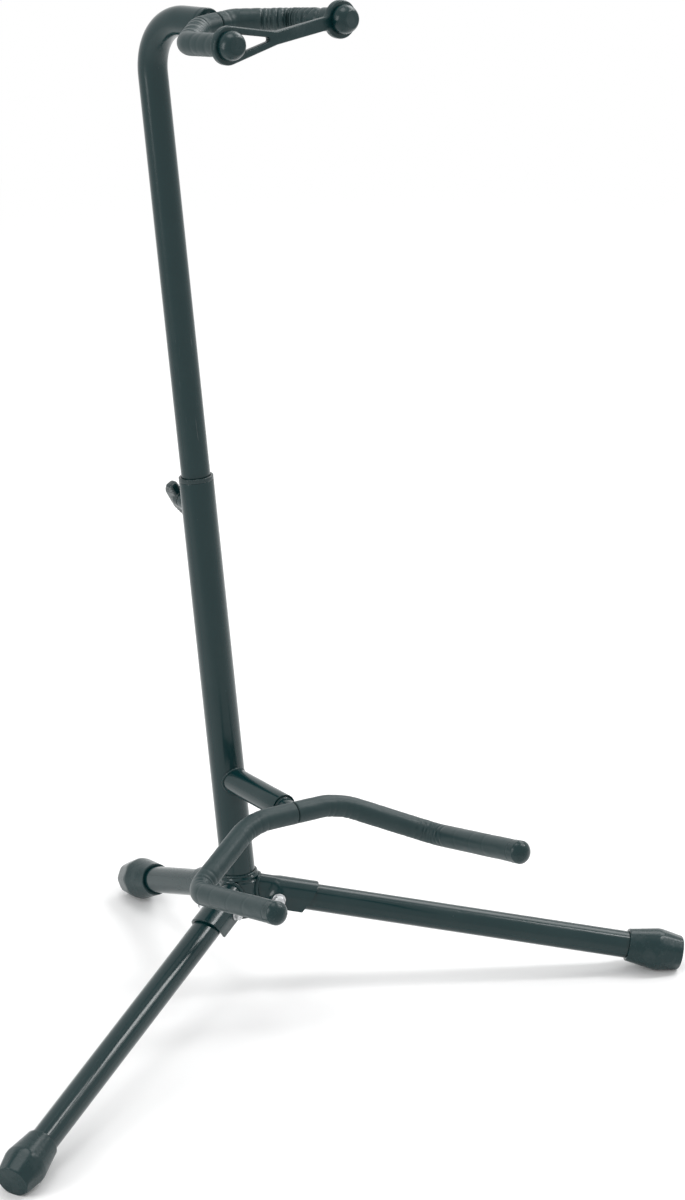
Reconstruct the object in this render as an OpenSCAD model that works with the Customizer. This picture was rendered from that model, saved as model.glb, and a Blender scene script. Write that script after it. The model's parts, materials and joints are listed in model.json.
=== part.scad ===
// Guitar stand: folding tripod, leaning column, telescoping mast with gooseneck,
// padded body cradle and padded neck yoke with a rubber strap.
// Sizes in millimetres. Z is up, the front (the guitar's side) is -Y, X is to the side.
// The origin is on the floor, in the middle of the stand's outline seen from above.

/* [Stance] */

// height of the point where the leg axes meet the column axis
hub_height = 78; // [72:1:88]

// angle of the front legs below level
front_leg_drop = 11.5; // [10:0.5:14]

// angle of the rear leg below level
rear_leg_drop = 23; // [20:0.5:28]

// turn of each front leg away from straight ahead
leg_spread = 60; // [52:1:64]

// outside diameter of the leg tubes
leg_diameter = 20; // [18:0.5:22]

// distance from the hub point to each leg's pivot bolt, along the leg
pivot_reach = 29; // [28:0.5:36]

// how far the rubber gives under each foot where it stands
foot_flat = 0.3; // [0.2:0.1:1]

/* [Feet] */

// length of each rubber foot
foot_length = 41; // [36:1:48]

// largest diameter of each foot
foot_diameter = 31.2; // [28:0.2:34]

// diameter of each foot's end face
foot_nose_diameter = 25; // [21:0.5:27]

// length of each foot's faceted nose
foot_nose = 16; // [12:0.5:20]

// how deep the nose's eight flats cut in at its widest ring
facet_wide_cut = 0.5; // [0.3:0.1:0.9]

// how deep the flats cut in at the end face
facet_nose_cut = 0.6; // [0.3:0.1:0.8]

// rubber round the leg tube at the foot's inner end
foot_collar_wall = 2; // [1.5:0.1:3]

// rubber between the end of the leg tube and the end of the foot
foot_floor = 5; // [3:0.5:8]

/* [Hub] */

// outside diameter of the collar round the column's foot
collar_diameter = 30; // [29:0.5:32]

// height of the collar above the hub point
collar_top = 12; // [11:0.5:20]

// depth of the collar below the hub point
collar_bottom = 18; // [16:0.5:19]

// sheet thickness of the leg brackets
bracket_wall = 1.8; // [1.2:0.1:2]

// reach of each bracket from the hub point, along its top
bracket_reach = 57; // [52:1:64]

// depth of the bracket's sides below the leg's axis
bracket_skirt = 8; // [6:0.5:9]

// how much shorter the bracket is along its lower edge
bracket_slant = 9; // [4:0.5:12]

/* [Pivot bolts] */

// diameter of the pivot bolts
bolt_diameter = 5; // [4:0.5:6]

// width across the flats of bolt heads and nuts
bolt_flats = 8; // [8:0.5:10]

// height of bolt heads and nuts
bolt_head = 3.5; // [3:0.5:5]

// diameter of the washers
washer_diameter = 10; // [10:0.5:12]

// thickness of the washers
washer_thickness = 1; // [0.8:0.1:1.4]

/* [Column] */

// lean of the column towards the back
column_lean = 9.75; // [7:0.25:12]

// outside diameter of the lower column
column_diameter = 25; // [24:0.5:26]

// wall of the column, mast and leg tubes
tube_wall = 1.2; // [1:0.1:1.4]

// length of the lower column below the hub point
column_below = 20; // [19:0.5:26]

// length of the lower column above the hub point
column_above = 311; // [280:1:360]

// length of the bushing inside the column
bushing_depth = 30; // [26:1:40]

// wall of the bushing inside the column
bushing_wall = 0.75; // [0.6:0.05:1]

// height of the bushing's lip above the column's rim
lip_height = 3.2; // [2:0.1:5]

// how far the lip stands out over the column
lip_overhang = 0.6; // [0.3:0.1:1.5]

/* [Mast] */

// height of the gooseneck's level part above the hub point, along the column
neck_height = 643.5; // [590:0.5:705]

// bend radius of the gooseneck
neck_radius = 40; // [32:1:48]

// reach of the yoke rod in front of the mast's axis
neck_reach = 76; // [72:1:90]

// length of mast inside the lower column
mast_overlap = 96; // [80:1:130]

// turn of the mast and its yoke in the column
yoke_turn = 8.5; // [-30:0.5:30]

/* [Clamp screw] */

// distance of the clamp screw below the column's rim
clamp_drop = 19; // [13:0.5:23]

// diameter of the clamp screw
clamp_diameter = 8; // [6:0.5:9]

// diameter of the boss that holds the clamp screw
boss_diameter = 14; // [12:0.5:16]

// height of the boss outside the column
boss_height = 7; // [5:0.5:9]

// span of the wing head from tip to tip
wing_span = 30; // [28:1:40]

// thickness of the wings
wing_thickness = 3.6; // [2.4:0.2:5]

// length of the wing head along its screw
wing_head = 12; // [10:0.5:14]

// turn of the wing head about its screw
wing_turn = 65; // [-90:5:90]

/* [Cradle] */

// height of the stub's root above the hub point, along the column
stub_height = 85.5; // [75:0.5:95]

// outside diameter of the stub
stub_diameter = 19; // [18:0.5:21]

// wall of the stub
stub_wall = 1.5; // [1.2:0.1:2]

// distance of the cradle rod in front of the column's axis
cradle_reach = 90.5; // [84:0.5:105]

// drop of the stub from root to cradle rod, seen square to the column
stub_drop = 5; // [0:0.5:8]

// sideways turn of the cradle in its stub, right side down
cradle_turn = 3.5; // [-5:0.5:5]

// diameter of the cradle and yoke rods
rod_diameter = 10; // [9:0.5:11]

// outside diameter of the padded sleeves
sleeve_diameter = 16; // [14.5:0.5:17]

// half the length of the cradle rod's straight middle
cradle_middle = 36; // [28:1:44]

// half the distance between the cradle's arms
cradle_half_width = 100; // [85:1:120]

// distance of the cradle's corners in front of its middle
cradle_corner_reach = 29.5; // [20:0.5:40]

// distance of the cradle's corners below its middle
cradle_corner_drop = 29.5; // [15:0.5:34]

// length of the cradle's arms from corner to end, seen from above
cradle_arm_reach = 107; // [85:1:130]

// rise of the cradle's arms from corner to end, square to the column
cradle_arm_rise = 14.5; // [5:0.5:25]

// bend radius of the cradle's corners
cradle_corner_radius = 17; // [14:0.5:22]

// bend radius where the cradle's middle turns down
cradle_shoulder_radius = 55; // [35:1:70]

/* [Yoke] */

// half the length of the yoke rod's straight middle
yoke_middle = 15; // [13:0.5:18]

// half the distance between the yoke's corners
yoke_corner_half_width = 46.5; // [42:0.5:56]

// half the distance between the yoke's balls
yoke_ball_half_width = 49.6; // [46:0.2:58]

// distance of the yoke's corners in front of its middle
yoke_corner_reach = 25; // [18:0.5:32]

// distance of the yoke's corners below its middle
yoke_corner_drop = 3.3; // [0:0.1:8]

// distance of the balls in front of the yoke's corners
yoke_arm_reach = 50; // [42:0.5:65]

// rise of the yoke's arms from corner to ball
yoke_arm_rise = 2.5; // [0:0.1:6]

// bend radius where the yoke's middle turns forward
yoke_shoulder_radius = 14; // [10:0.5:16]

// bend radius of the yoke's corners
yoke_corner_radius = 14; // [11:0.5:17]

// diameter of the balls on the yoke's ends
ball_diameter = 20; // [19.5:0.5:26]

/* [Strap] */

// thickness of the strap, along the arms
strap_thickness = 5; // [3:0.5:7]

// width of rubber round the arms
strap_band = 4; // [3:0.5:6]

// length of the teardrop loop from the arm's axis to its point
strap_loop = 41; // [34:1:46]

// width of the strap between loop and ring
strap_width = 9; // [6:0.5:12]

/* [Hidden] */

// clearances
slide_fit = 0.05;
turn_fit = 0.08;
seat_fit = 0.05;
leg_side_fit = 0.3;
strap_fit = 0.5;
stem_fit = 0.4;
clamp_fit = 0.3;
sleeve_joint = 0.4;
elbow_step = 0.06;
elbow_overlap = 0.3;
flank_step = 0.05;
beyond = 1;
$fn = 64;

// radii and tube bores
column_radius = column_diameter / 2;
column_bore = column_radius - tube_wall;
mast_radius = column_bore - bushing_wall - slide_fit;
mast_bore = mast_radius - tube_wall;
leg_radius = leg_diameter / 2;
leg_bore = leg_radius - tube_wall;
stub_radius = stub_diameter / 2;
rod_radius = rod_diameter / 2;
sleeve_radius = sleeve_diameter / 2;
collar_radius = collar_diameter / 2;
foot_radius = foot_diameter / 2;
foot_nose_radius = foot_nose_diameter / 2;
ball_radius = ball_diameter / 2;
clamp_radius = clamp_diameter / 2;
bolt_radius = bolt_diameter / 2;

// legs
left_turn = -90 - leg_spread;
right_turn = leg_spread - 90;
rear_turn = 90;
foot_band = 3;
foot_edge = 1;
foot_lip = foot_length / 10;
foot_lip_rise = 0.6;
facet_wide = foot_radius - facet_wide_cut;
facet_nose = foot_nose_radius - facet_nose_cut;
facet_tilt = atan((facet_wide - facet_nose) / foot_nose);

// Length of a leg so that the lowest flat of its foot reaches the floor, at either end of the nose.
function leg_length(drop) = min(
    foot_nose + (hub_height + foot_flat - facet_wide * cos(drop)) / sin(drop),
    foot_edge + (hub_height + foot_flat - facet_nose * cos(drop)) / sin(drop));
front_length = leg_length(front_leg_drop);
rear_length = leg_length(rear_leg_drop);
leg_end_step = 0.1;
bolt_tail = 2;
bracket_inside = leg_radius + leg_side_fit;
bracket_outside = bracket_inside + bracket_wall;

// column, mast and plugs
clamp_height = column_above - clamp_drop;
collar_ease = 1.5;
plug_depth = 8;
plug_head = 2;
plug_ease = 1;
mast_foot = column_above - mast_overlap;
mast_plug_head = 4;
mast_plug_depth = 14;
block_depth = 12;
block_head = 3;
block_gap = 0.5;
block_tail = sleeve_radius + block_gap + block_head;
block_neck_radius = 6.5;

// cradle path, in the column's frame, measured from the middle of the cradle rod
cradle_height = stub_height - stub_drop;
cradle_shoulder = [cradle_middle, 0, 0];
cradle_corner = [cradle_half_width, -cradle_corner_reach, -cradle_corner_drop];
cradle_end = cradle_corner + [0, -cradle_arm_reach, cradle_arm_rise];
cap_skirt = 6;
cap_dome = 6.5;
cap_radius = sleeve_radius + 0.3;
cap_dome_radius = sleeve_radius * 1.15;
stem_depth = 18;
stem_radius = stub_radius - stub_wall - seat_fit;
stem_neck_radius = 7;
stub_gap = 5.5;
stub_end = cradle_reach - sleeve_radius - stub_gap;

// yoke path, in the mast's frame, measured from the middle of the yoke rod
yoke_shoulder = [yoke_middle, 0, 0];
yoke_corner = [yoke_corner_half_width, -yoke_corner_reach, -yoke_corner_drop];
yoke_ball = [yoke_ball_half_width, -yoke_corner_reach - yoke_arm_reach, yoke_arm_rise - yoke_corner_drop];
ball_back = 4;
slot_point = 1.5;
slot_web = 5;
strap_sink = 0.5;

// clamp screw's wing head
wing_gap = 2;
wing_roof = 2;
wing_hub_wall = 2.8;
wing_tip_radius = 6;
wing_root = 1;
wing_rise = 3;

// where the arm's axis passes the strap
strap_back = ball_radius + strap_thickness / 2;
strap_share = (yoke_arm_reach - strap_back) / yoke_arm_reach;
strap_at = yoke_corner + strap_share * (yoke_ball - yoke_corner);

// position of the hub so that the origin is in the middle of the outline
tip_y = (cradle_height + cradle_end.z) * sin(column_lean)
    - (cradle_reach - cradle_end.y + cap_dome) * cos(column_lean)
    - cradle_half_width * abs(sin(cradle_turn)) * sin(column_lean);
front_foot_y = -front_length * cos(front_leg_drop) * cos(leg_spread)
    - foot_nose_radius * sin(leg_spread);
rear_foot_y = rear_length * cos(rear_leg_drop) + (foot_nose_radius - foot_edge) * sin(rear_leg_drop);
hub_y = -(min(tip_y, front_foot_y) + rear_foot_y) / 2;

// colours
paint = [0.10, 0.13, 0.14];
rubber = [0.07, 0.09, 0.10];
plastic = [0.06, 0.07, 0.08];
steel = [0.75, 0.76, 0.78];

// Frames

module at_hub() {
    translate([0, hub_y, hub_height]) children();
}

// Z runs up the column's axis, -Y to the front
module on_column() {
    at_hub() rotate([-column_lean, 0, 0]) children();
}

// X runs out along the leg's axis
module on_leg(turn, drop) {
    at_hub() rotate([0, 0, turn]) rotate([0, drop, 0]) children();
}

// origin in the middle of the cradle rod
module on_cradle() {
    on_column() translate([0, -cradle_reach, cradle_height]) rotate([0, cradle_turn, 0]) children();
}

// the mast's frame, turned with its yoke
module on_mast() {
    on_column() rotate([0, 0, yoke_turn]) children();
}

// origin in the middle of the yoke rod
module on_yoke() {
    on_mast() translate([0, -neck_reach, neck_height]) children();
}

// Z runs from point a towards point b, origin at b
module facing(a, b) {
    way = b - a;
    translate(b) rotate([0, acos(way.z / norm(way)), atan2(way.y, way.x)]) children();
}

// Bent bars and tubes

function unit(v) = v / norm(v);
function bend_angle(a, b, c) = acos(unit(b - a) * unit(c - b));
function bend_trim(a, b, c, radius) = radius * tan(bend_angle(a, b, c) / 2);

module ring(outer, inner) {
    difference() {
        circle(r = outer);
        circle(r = inner);
    }
}

module straight(a, b, radius) {
    length = norm(b - a);
    facing(a, b) translate([0, 0, -length]) cylinder(h = length, r = radius);
}

// The elbow is a hair thinner than the straight parts and runs a little way into them.
module elbow(a, b, c, bend, radius) {
    start_way = unit(b - a);
    end_way = unit(c - b);
    side = unit(end_way - (start_way * end_way) * start_way);
    across = cross(-side, start_way);
    centre = b - start_way * bend_trim(a, b, c, bend) + side * bend;
    into = elbow_overlap / bend * 180 / PI;
    multmatrix([
        [-side.x, start_way.x, across.x, centre.x],
        [-side.y, start_way.y, across.y, centre.y],
        [-side.z, start_way.z, across.z, centre.z]])
        rotate([0, 0, -into]) rotate_extrude(angle = bend_angle(a, b, c) + 2 * into)
        translate([bend, 0]) circle(r = radius - elbow_step);
}

// A round bar through the points, bent at each inner point; bends[i] is the bend radius at points[i].
module bent_bar(points, bends, radius) {
    last = len(points) - 1;
    for (i = [0:last - 1]) {
        way = unit(points[i + 1] - points[i]);
        from_trim = i == 0 ? 0 : bend_trim(points[i - 1], points[i], points[i + 1], bends[i]);
        to_trim = i == last - 1 ? 0 : bend_trim(points[i], points[i + 1], points[i + 2], bends[i + 1]);
        straight(points[i] + way * from_trim, points[i + 1] - way * to_trim, radius);
        if (i > 0) elbow(points[i - 1], points[i], points[i + 1], bends[i], radius);
    }
}

// the same path, carried on past both ends
function run_past(points) = let (last = len(points) - 1) [for (i = [0:last])
    i == 0 ? points[0] - beyond * unit(points[1] - points[0])
    : i == last ? points[last] + beyond * unit(points[last] - points[last - 1])
    : points[i]];

module bent_tube(points, bends, outer, inner) {
    difference() {
        bent_bar(points, bends, outer);
        bent_bar(run_past(points), bends, inner);
    }
}

function mirrored(p) = [-p.x, p.y, p.z];

// Lower column and hub

module lower_column() {
    color(paint) on_column() difference() {
        translate([0, 0, -column_below])
            linear_extrude(height = column_below + column_above) ring(column_radius, column_bore);
        clamp_hole(clamp_radius + clamp_fit);
    }
}

// the way of the clamp screw through the back of the column
module clamp_hole(radius) {
    translate([0, 0, clamp_height]) rotate([-90, 0, 0]) cylinder(h = column_radius * 3, r = radius);
}

module column_plug() {
    color(plastic) on_column() translate([0, 0, -column_below]) {
        cylinder(h = plug_depth, r = column_bore - seat_fit);
        translate([0, 0, -plug_head]) cylinder(h = plug_head, r1 = column_radius - plug_ease, r2 = column_radius);
    }
}

module column_bushing() {
    color(plastic) on_column() difference() {
        union() {
            translate([0, 0, column_above - bushing_depth])
                cylinder(h = bushing_depth, r = column_bore - seat_fit);
            translate([0, 0, column_above])
                cylinder(h = lip_height, r1 = column_radius + lip_overhang, r2 = column_radius);
        }
        translate([0, 0, column_above - bushing_depth - beyond])
            cylinder(h = bushing_depth + lip_height + 2 * beyond, r = mast_radius + slide_fit);
        clamp_hole(clamp_radius + clamp_fit);
    }
}

module hub_collar() {
    bore = column_radius + seat_fit;
    color(paint) on_column() rotate_extrude() polygon([
        [bore, -collar_bottom], [collar_radius, -collar_bottom], [collar_radius, collar_top - collar_ease],
        [collar_radius - collar_ease, collar_top], [bore, collar_top]]);
}

module clamp_boss() {
    color(paint) on_column() difference() {
        translate([0, 0, clamp_height]) rotate([-90, 0, 0])
            cylinder(h = column_radius + boss_height, r = boss_diameter / 2);
        translate([0, 0, clamp_height - boss_diameter])
            cylinder(h = 2 * boss_diameter, r = column_radius + seat_fit);
        clamp_hole(clamp_radius + turn_fit);
    }
}

// Leg brackets and pivots

// a channel open below, half round on top
module channel(radius, start, end, skirt) {
    translate([start, 0, 0]) rotate([0, 90, 0]) cylinder(h = end - start, r = radius);
    translate([start, -radius, -skirt]) cube([end - start, 2 * radius, skirt]);
}

module bracket(turn, drop) {
    slant_height = bracket_outside + bracket_skirt;
    color(paint) difference() {
        on_leg(turn, drop) difference() {
            intersection() {
                channel(bracket_outside, 0, bracket_reach, bracket_skirt);
                translate([0, -bracket_outside, -bracket_skirt])
                    cube([bracket_reach, 2 * bracket_outside, 2 * slant_height]);
            }
            channel(bracket_inside, -beyond, bracket_reach + beyond, bracket_skirt + beyond);
            translate([bracket_reach, 0, bracket_outside]) rotate([0, atan(bracket_slant / slant_height), 0])
                translate([0, -2 * bracket_outside, -3 * slant_height])
                cube([bracket_reach, 4 * bracket_outside, 4 * slant_height]);
            pivot_hole(bolt_radius + seat_fit);
        }
        on_column() translate([0, 0, -3 * collar_radius])
            cylinder(h = 6 * collar_radius, r = collar_radius + seat_fit);
    }
}

// a hole across the leg at its pivot
module pivot_hole(radius) {
    translate([pivot_reach, 0, 0]) rotate([90, 0, 0])
        cylinder(h = 4 * leg_radius, r = radius, center = true);
}

module bracket_left() bracket(left_turn, front_leg_drop);
module bracket_right() bracket(right_turn, front_leg_drop);
module bracket_rear() bracket(rear_turn, rear_leg_drop);

// puts its children on the outer face of the washer on each pivot; side 1 or -1 carries the bolt's head
module on_pivots(reversed) {
    for (leg = [[left_turn, front_leg_drop, 1], [right_turn, front_leg_drop, -1], [rear_turn, rear_leg_drop, 1]])
        on_leg(leg[0], leg[1]) translate([pivot_reach, 0, 0])
            rotate([-90 * leg[2] * (reversed ? -1 : 1), 0, 0]) children();
}

module leg_bolts() {
    grip = bracket_outside + washer_thickness;
    color(steel) on_pivots(false) {
        translate([0, 0, grip]) cylinder(h = bolt_head, r = bolt_flats / sqrt(3), $fn = 6);
        translate([0, 0, -grip - bolt_head - bolt_tail])
            cylinder(h = 2 * grip + bolt_head + bolt_tail, r = bolt_radius);
    }
}

module leg_nuts() {
    color(steel) on_pivots(true) difference() {
        translate([0, 0, bracket_outside + washer_thickness])
            cylinder(h = bolt_head, r = bolt_flats / sqrt(3), $fn = 6);
        cylinder(h = 4 * leg_radius, r = bolt_radius + seat_fit);
    }
}

module leg_washers() {
    color(steel) for (reversed = [false, true]) on_pivots(reversed)
        translate([0, 0, bracket_outside]) linear_extrude(height = washer_thickness)
            ring(washer_diameter / 2, bolt_radius + seat_fit);
}

// Legs and feet

module leg_tube(turn, drop) {
    end = leg_length(drop) - foot_floor;
    color(paint) on_leg(turn, drop) difference() {
        intersection() {
            translate([pivot_reach - leg_radius, 0, 0]) rotate([0, 90, 0])
                linear_extrude(height = end - pivot_reach + leg_radius) ring(leg_radius, leg_bore);
            // the inner end is round like a ball about the pivot, to turn inside the bracket
            union() {
                translate([pivot_reach, 0, 0]) sphere(r = leg_radius - leg_end_step);
                translate([pivot_reach, -2 * leg_radius, -2 * leg_radius])
                    cube([end, 4 * leg_radius, 4 * leg_radius]);
            }
        }
        pivot_hole(bolt_radius + turn_fit);
    }
}

module leg_left() leg_tube(left_turn, front_leg_drop);
module leg_right() leg_tube(right_turn, front_leg_drop);
module leg_rear() leg_tube(rear_turn, rear_leg_drop);

// the flats round the nose, which taper with it
module facets() {
    for (k = [0:7]) rotate([0, 0, 45 * k]) translate([facet_wide, 0, foot_length - foot_nose])
        rotate([0, -facet_tilt, 0]) translate([0, -foot_radius, -foot_length])
        cube([foot_radius, 2 * foot_radius, 2 * foot_length]);
}

module foot(turn, drop) {
    collar = leg_radius + foot_collar_wall;
    widest = foot_length - foot_nose;
    color(rubber) difference() {
        on_leg(turn, drop) translate([leg_length(drop) - foot_length, 0, 0]) rotate([0, 90, 0]) difference() {
            rotate_extrude() polygon([
                [0, 0], [collar, 0], [collar + foot_lip_rise, foot_lip],
                [foot_radius, widest - foot_band], [foot_radius, widest],
                [foot_nose_radius, foot_length - foot_edge], [foot_nose_radius - foot_edge, foot_length],
                [0, foot_length]]);
            facets();
            translate([0, 0, -beyond]) cylinder(h = foot_length - foot_floor + beyond, r = leg_radius + seat_fit);
        }
        // the part that would be under the floor
        translate([-2 * front_length, -2 * front_length, -2 * foot_length])
            cube([4 * front_length, 4 * front_length, 2 * foot_length]);
    }
}

module foot_left() foot(left_turn, front_leg_drop);
module foot_right() foot(right_turn, front_leg_drop);
module foot_rear() foot(rear_turn, rear_leg_drop);

// Clamp screw

wing_start = column_radius + boss_height + wing_gap;
wing_bore = wing_head - wing_roof;

module clamp_screw() {
    inner_end = mast_radius + turn_fit;
    color(steel) on_column() translate([0, inner_end, clamp_height]) rotate([-90, 0, 0])
        cylinder(h = wing_start + wing_bore - seat_fit - inner_end, r = clamp_radius);
}

// one wing, from the screw's axis out
module wing() {
    leaf = wing_span / 2;
    shoulder = clamp_radius + wing_hub_wall + wing_root;
    tip = wing_head - wing_roof;
    polygon([
        [0, wing_root], [shoulder, wing_root], [leaf - wing_tip_radius / 2, wing_root + wing_rise],
        [leaf, tip - wing_root], [leaf - wing_tip_radius, tip + wing_tip_radius], [0, tip]]);
    translate([leaf - wing_tip_radius, tip]) circle(r = wing_tip_radius);
}

module clamp_wing() {
    color(plastic) on_column() translate([0, wing_start, clamp_height]) rotate([-90, 0, 0])
        rotate([0, 0, wing_turn]) difference() {
            union() {
                cylinder(h = wing_head, r = clamp_radius + wing_hub_wall);
                for (side = [0, 180]) rotate([0, 0, side]) rotate([90, 0, 0])
                    translate([0, 0, -wing_thickness / 2]) linear_extrude(height = wing_thickness) wing();
            }
            translate([0, 0, -beyond]) cylinder(h = wing_bore + beyond, r = clamp_radius + seat_fit);
        }
}

// Cradle

// Z runs along the stub from the column's axis to the cradle rod
module on_stub() {
    on_column() translate([0, 0, stub_height]) rotate([90 + atan(stub_drop / cradle_reach), 0, 0]) children();
}

module cradle_stub() {
    color(paint) difference() {
        on_stub() linear_extrude(height = stub_end) ring(stub_radius, stub_radius - stub_wall);
        on_column() translate([0, 0, stub_height - 2 * stub_diameter])
            cylinder(h = 4 * stub_diameter, r = column_radius + seat_fit);
    }
}

module cradle_stem() {
    color(paint) difference() {
        on_stub() {
            translate([0, 0, stub_end - stem_depth]) cylinder(h = stem_depth, r = stem_radius);
            translate([0, 0, stub_end]) cylinder(h = cradle_reach - stub_end, r = stem_neck_radius);
        }
        on_cradle() rotate([0, 90, 0]) cylinder(h = 2 * cradle_middle, r = rod_radius + seat_fit, center = true);
    }
}

cradle_points = [mirrored(cradle_end), mirrored(cradle_corner), mirrored(cradle_shoulder),
    cradle_shoulder, cradle_corner, cradle_end];

module cradle_rod() {
    color(steel) on_cradle() bent_bar(cradle_points,
        [0, cradle_corner_radius, cradle_shoulder_radius, cradle_shoulder_radius, cradle_corner_radius, 0],
        rod_radius);
}

module cradle_sleeve(flip) {
    arm = unit(cradle_end - cradle_corner);
    color(rubber) difference() {
        on_cradle() mirror([flip, 0, 0]) bent_tube(
            [[sleeve_joint / 2, 0, 0], cradle_shoulder, cradle_corner, cradle_end - cap_skirt * arm],
            [0, cradle_shoulder_radius, cradle_corner_radius, 0], sleeve_radius, rod_radius + seat_fit);
        on_stub() cylinder(h = cradle_reach, r = stem_neck_radius + stem_fit);
    }
}

module cradle_sleeve_left() cradle_sleeve(1);
module cradle_sleeve_right() cradle_sleeve(0);

module cradle_tips() {
    color(rubber) on_cradle() for (flip = [0, 1]) mirror([flip, 0, 0]) facing(cradle_corner, cradle_end)
        difference() {
            rotate_extrude() {
                translate([0, -cap_skirt]) square([cap_radius, cap_skirt]);
                intersection() {
                    square([cap_radius, cap_dome]);
                    translate([0, cap_dome - cap_dome_radius]) circle(r = cap_dome_radius);
                }
            }
            translate([0, 0, -cap_skirt - beyond]) cylinder(h = cap_skirt + beyond, r = rod_radius + seat_fit);
        }
}

// Mast and yoke

module mast() {
    level = neck_reach - block_tail - neck_radius;
    bend_foot = neck_height - neck_radius;
    color(paint) on_mast() {
        translate([0, 0, mast_foot]) linear_extrude(height = bend_foot - mast_foot) ring(mast_radius, mast_bore);
        multmatrix([[0, 0, 1, 0], [1, 0, 0, -neck_radius], [0, 1, 0, bend_foot]])
            rotate_extrude(angle = 90) translate([neck_radius, 0]) ring(mast_radius, mast_bore);
        translate([0, -neck_radius, neck_height]) rotate([90, 0, 0])
            linear_extrude(height = level) ring(mast_radius, mast_bore);
    }
}

module mast_plug() {
    color(plastic) on_column() translate([0, 0, mast_foot]) {
        cylinder(h = mast_plug_depth, r = mast_bore - turn_fit);
        translate([0, 0, -mast_plug_head]) cylinder(h = mast_plug_head, r = column_bore - slide_fit);
    }
}

module yoke_block() {
    color(paint) on_yoke() difference() {
        union() {
            translate([0, block_tail, 0]) rotate([-90, 0, 0]) cylinder(h = block_depth, r = mast_bore - seat_fit);
            translate([0, block_tail, 0]) rotate([90, 0, 0]) cylinder(h = block_head, r = mast_radius);
            translate([0, block_tail, 0]) rotate([90, 0, 0]) cylinder(h = block_tail, r = block_neck_radius);
        }
        rotate([0, 90, 0]) cylinder(h = 4 * mast_radius, r = rod_radius + seat_fit, center = true);
    }
}

yoke_way = unit(yoke_ball - yoke_corner);
yoke_rod_end = yoke_ball + ball_back * yoke_way;
yoke_sleeve_end = yoke_ball - ball_back * yoke_way;

module yoke_rod() {
    color(steel) on_yoke() bent_bar(
        [mirrored(yoke_rod_end), mirrored(yoke_corner), mirrored(yoke_shoulder),
            yoke_shoulder, yoke_corner, yoke_rod_end],
        [0, yoke_corner_radius, yoke_shoulder_radius, yoke_shoulder_radius, yoke_corner_radius, 0],
        rod_radius);
}

module yoke_sleeve(flip) {
    color(rubber) on_yoke() difference() {
        mirror([flip, 0, 0]) bent_tube(
            [[sleeve_joint / 2, 0, 0], yoke_shoulder, yoke_corner, yoke_sleeve_end],
            [0, yoke_shoulder_radius, yoke_corner_radius, 0], sleeve_radius, rod_radius + seat_fit);
        rotate([-90, 0, 0]) cylinder(h = block_tail, r = block_neck_radius + stem_fit);
    }
}

module yoke_sleeve_left() yoke_sleeve(1);
module yoke_sleeve_right() yoke_sleeve(0);

module yoke_balls() {
    color(rubber) on_yoke() for (flip = [0, 1]) mirror([flip, 0, 0]) facing(yoke_corner, yoke_ball)
        difference() {
            sphere(r = ball_radius);
            translate([0, 0, -2 * ball_radius]) cylinder(h = 2 * ball_radius - ball_back, r = sleeve_radius + seat_fit);
            translate([0, 0, -ball_radius]) cylinder(h = ball_radius + ball_back, r = rod_radius + seat_fit);
        }
}

// A plate round two circles, the small one at [reach, 0]. Its flanks stand a hair inside
// the common tangents, so that they cross the circles.
module teardrop(large, small, reach, height) {
    tilt = acos((large - small) / reach);
    wide = large - flank_step;
    narrow = small - flank_step;
    cylinder(h = height, r = large);
    translate([reach, 0, 0]) cylinder(h = height, r = small);
    linear_extrude(height = height) polygon([
        [wide * cos(tilt), wide * sin(tilt)], [wide * cos(tilt), -wide * sin(tilt)],
        [reach + narrow * cos(tilt), -narrow * sin(tilt)], [reach + narrow * cos(tilt), narrow * sin(tilt)]]);
}

module neck_strap() {
    hole = sleeve_radius + strap_fit;
    band = hole + strap_band;
    span = 2 * strap_at.x;
    point = strap_width / 2;
    cut = strap_thickness + 2 * beyond;
    color(rubber) on_yoke() translate([-strap_at.x, strap_at.y + strap_thickness / 2, strap_at.z])
        rotate([90, 0, 0]) difference() {
            union() {
                teardrop(band, point - strap_sink, strap_loop, strap_thickness);
                translate([strap_loop - strap_width, -point, 0])
                    cube([span - strap_loop + strap_width, strap_width, strap_thickness]);
                translate([span, 0, 0]) cylinder(h = strap_thickness, r = band);
            }
            translate([0, 0, -beyond]) teardrop(hole, slot_point, strap_loop - slot_web, cut);
            translate([span, 0, -beyond]) cylinder(h = cut, r = hole);
        }
}

lower_column();
column_plug();
column_bushing();
hub_collar();
clamp_boss();
bracket_left();
bracket_right();
bracket_rear();
cradle_stub();
cradle_stem();
cradle_rod();
cradle_sleeve_left();
cradle_sleeve_right();
cradle_tips();
leg_bolts();
leg_washers();
leg_nuts();
leg_left();
leg_right();
leg_rear();
foot_left();
foot_right();
foot_rear();
mast();
mast_plug();
yoke_block();
yoke_rod();
yoke_sleeve_left();
yoke_sleeve_right();
yoke_balls();
neck_strap();
clamp_screw();
clamp_wing();
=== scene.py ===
# Dresses the folding guitar stand: tubes, hub, padded cradle, padded neck yoke, feet and screws.
# Everything is in metres and degrees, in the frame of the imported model.
import json
import math
import random

import bmesh
import bpy
from mathutils import Matrix, Vector, noise

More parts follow.
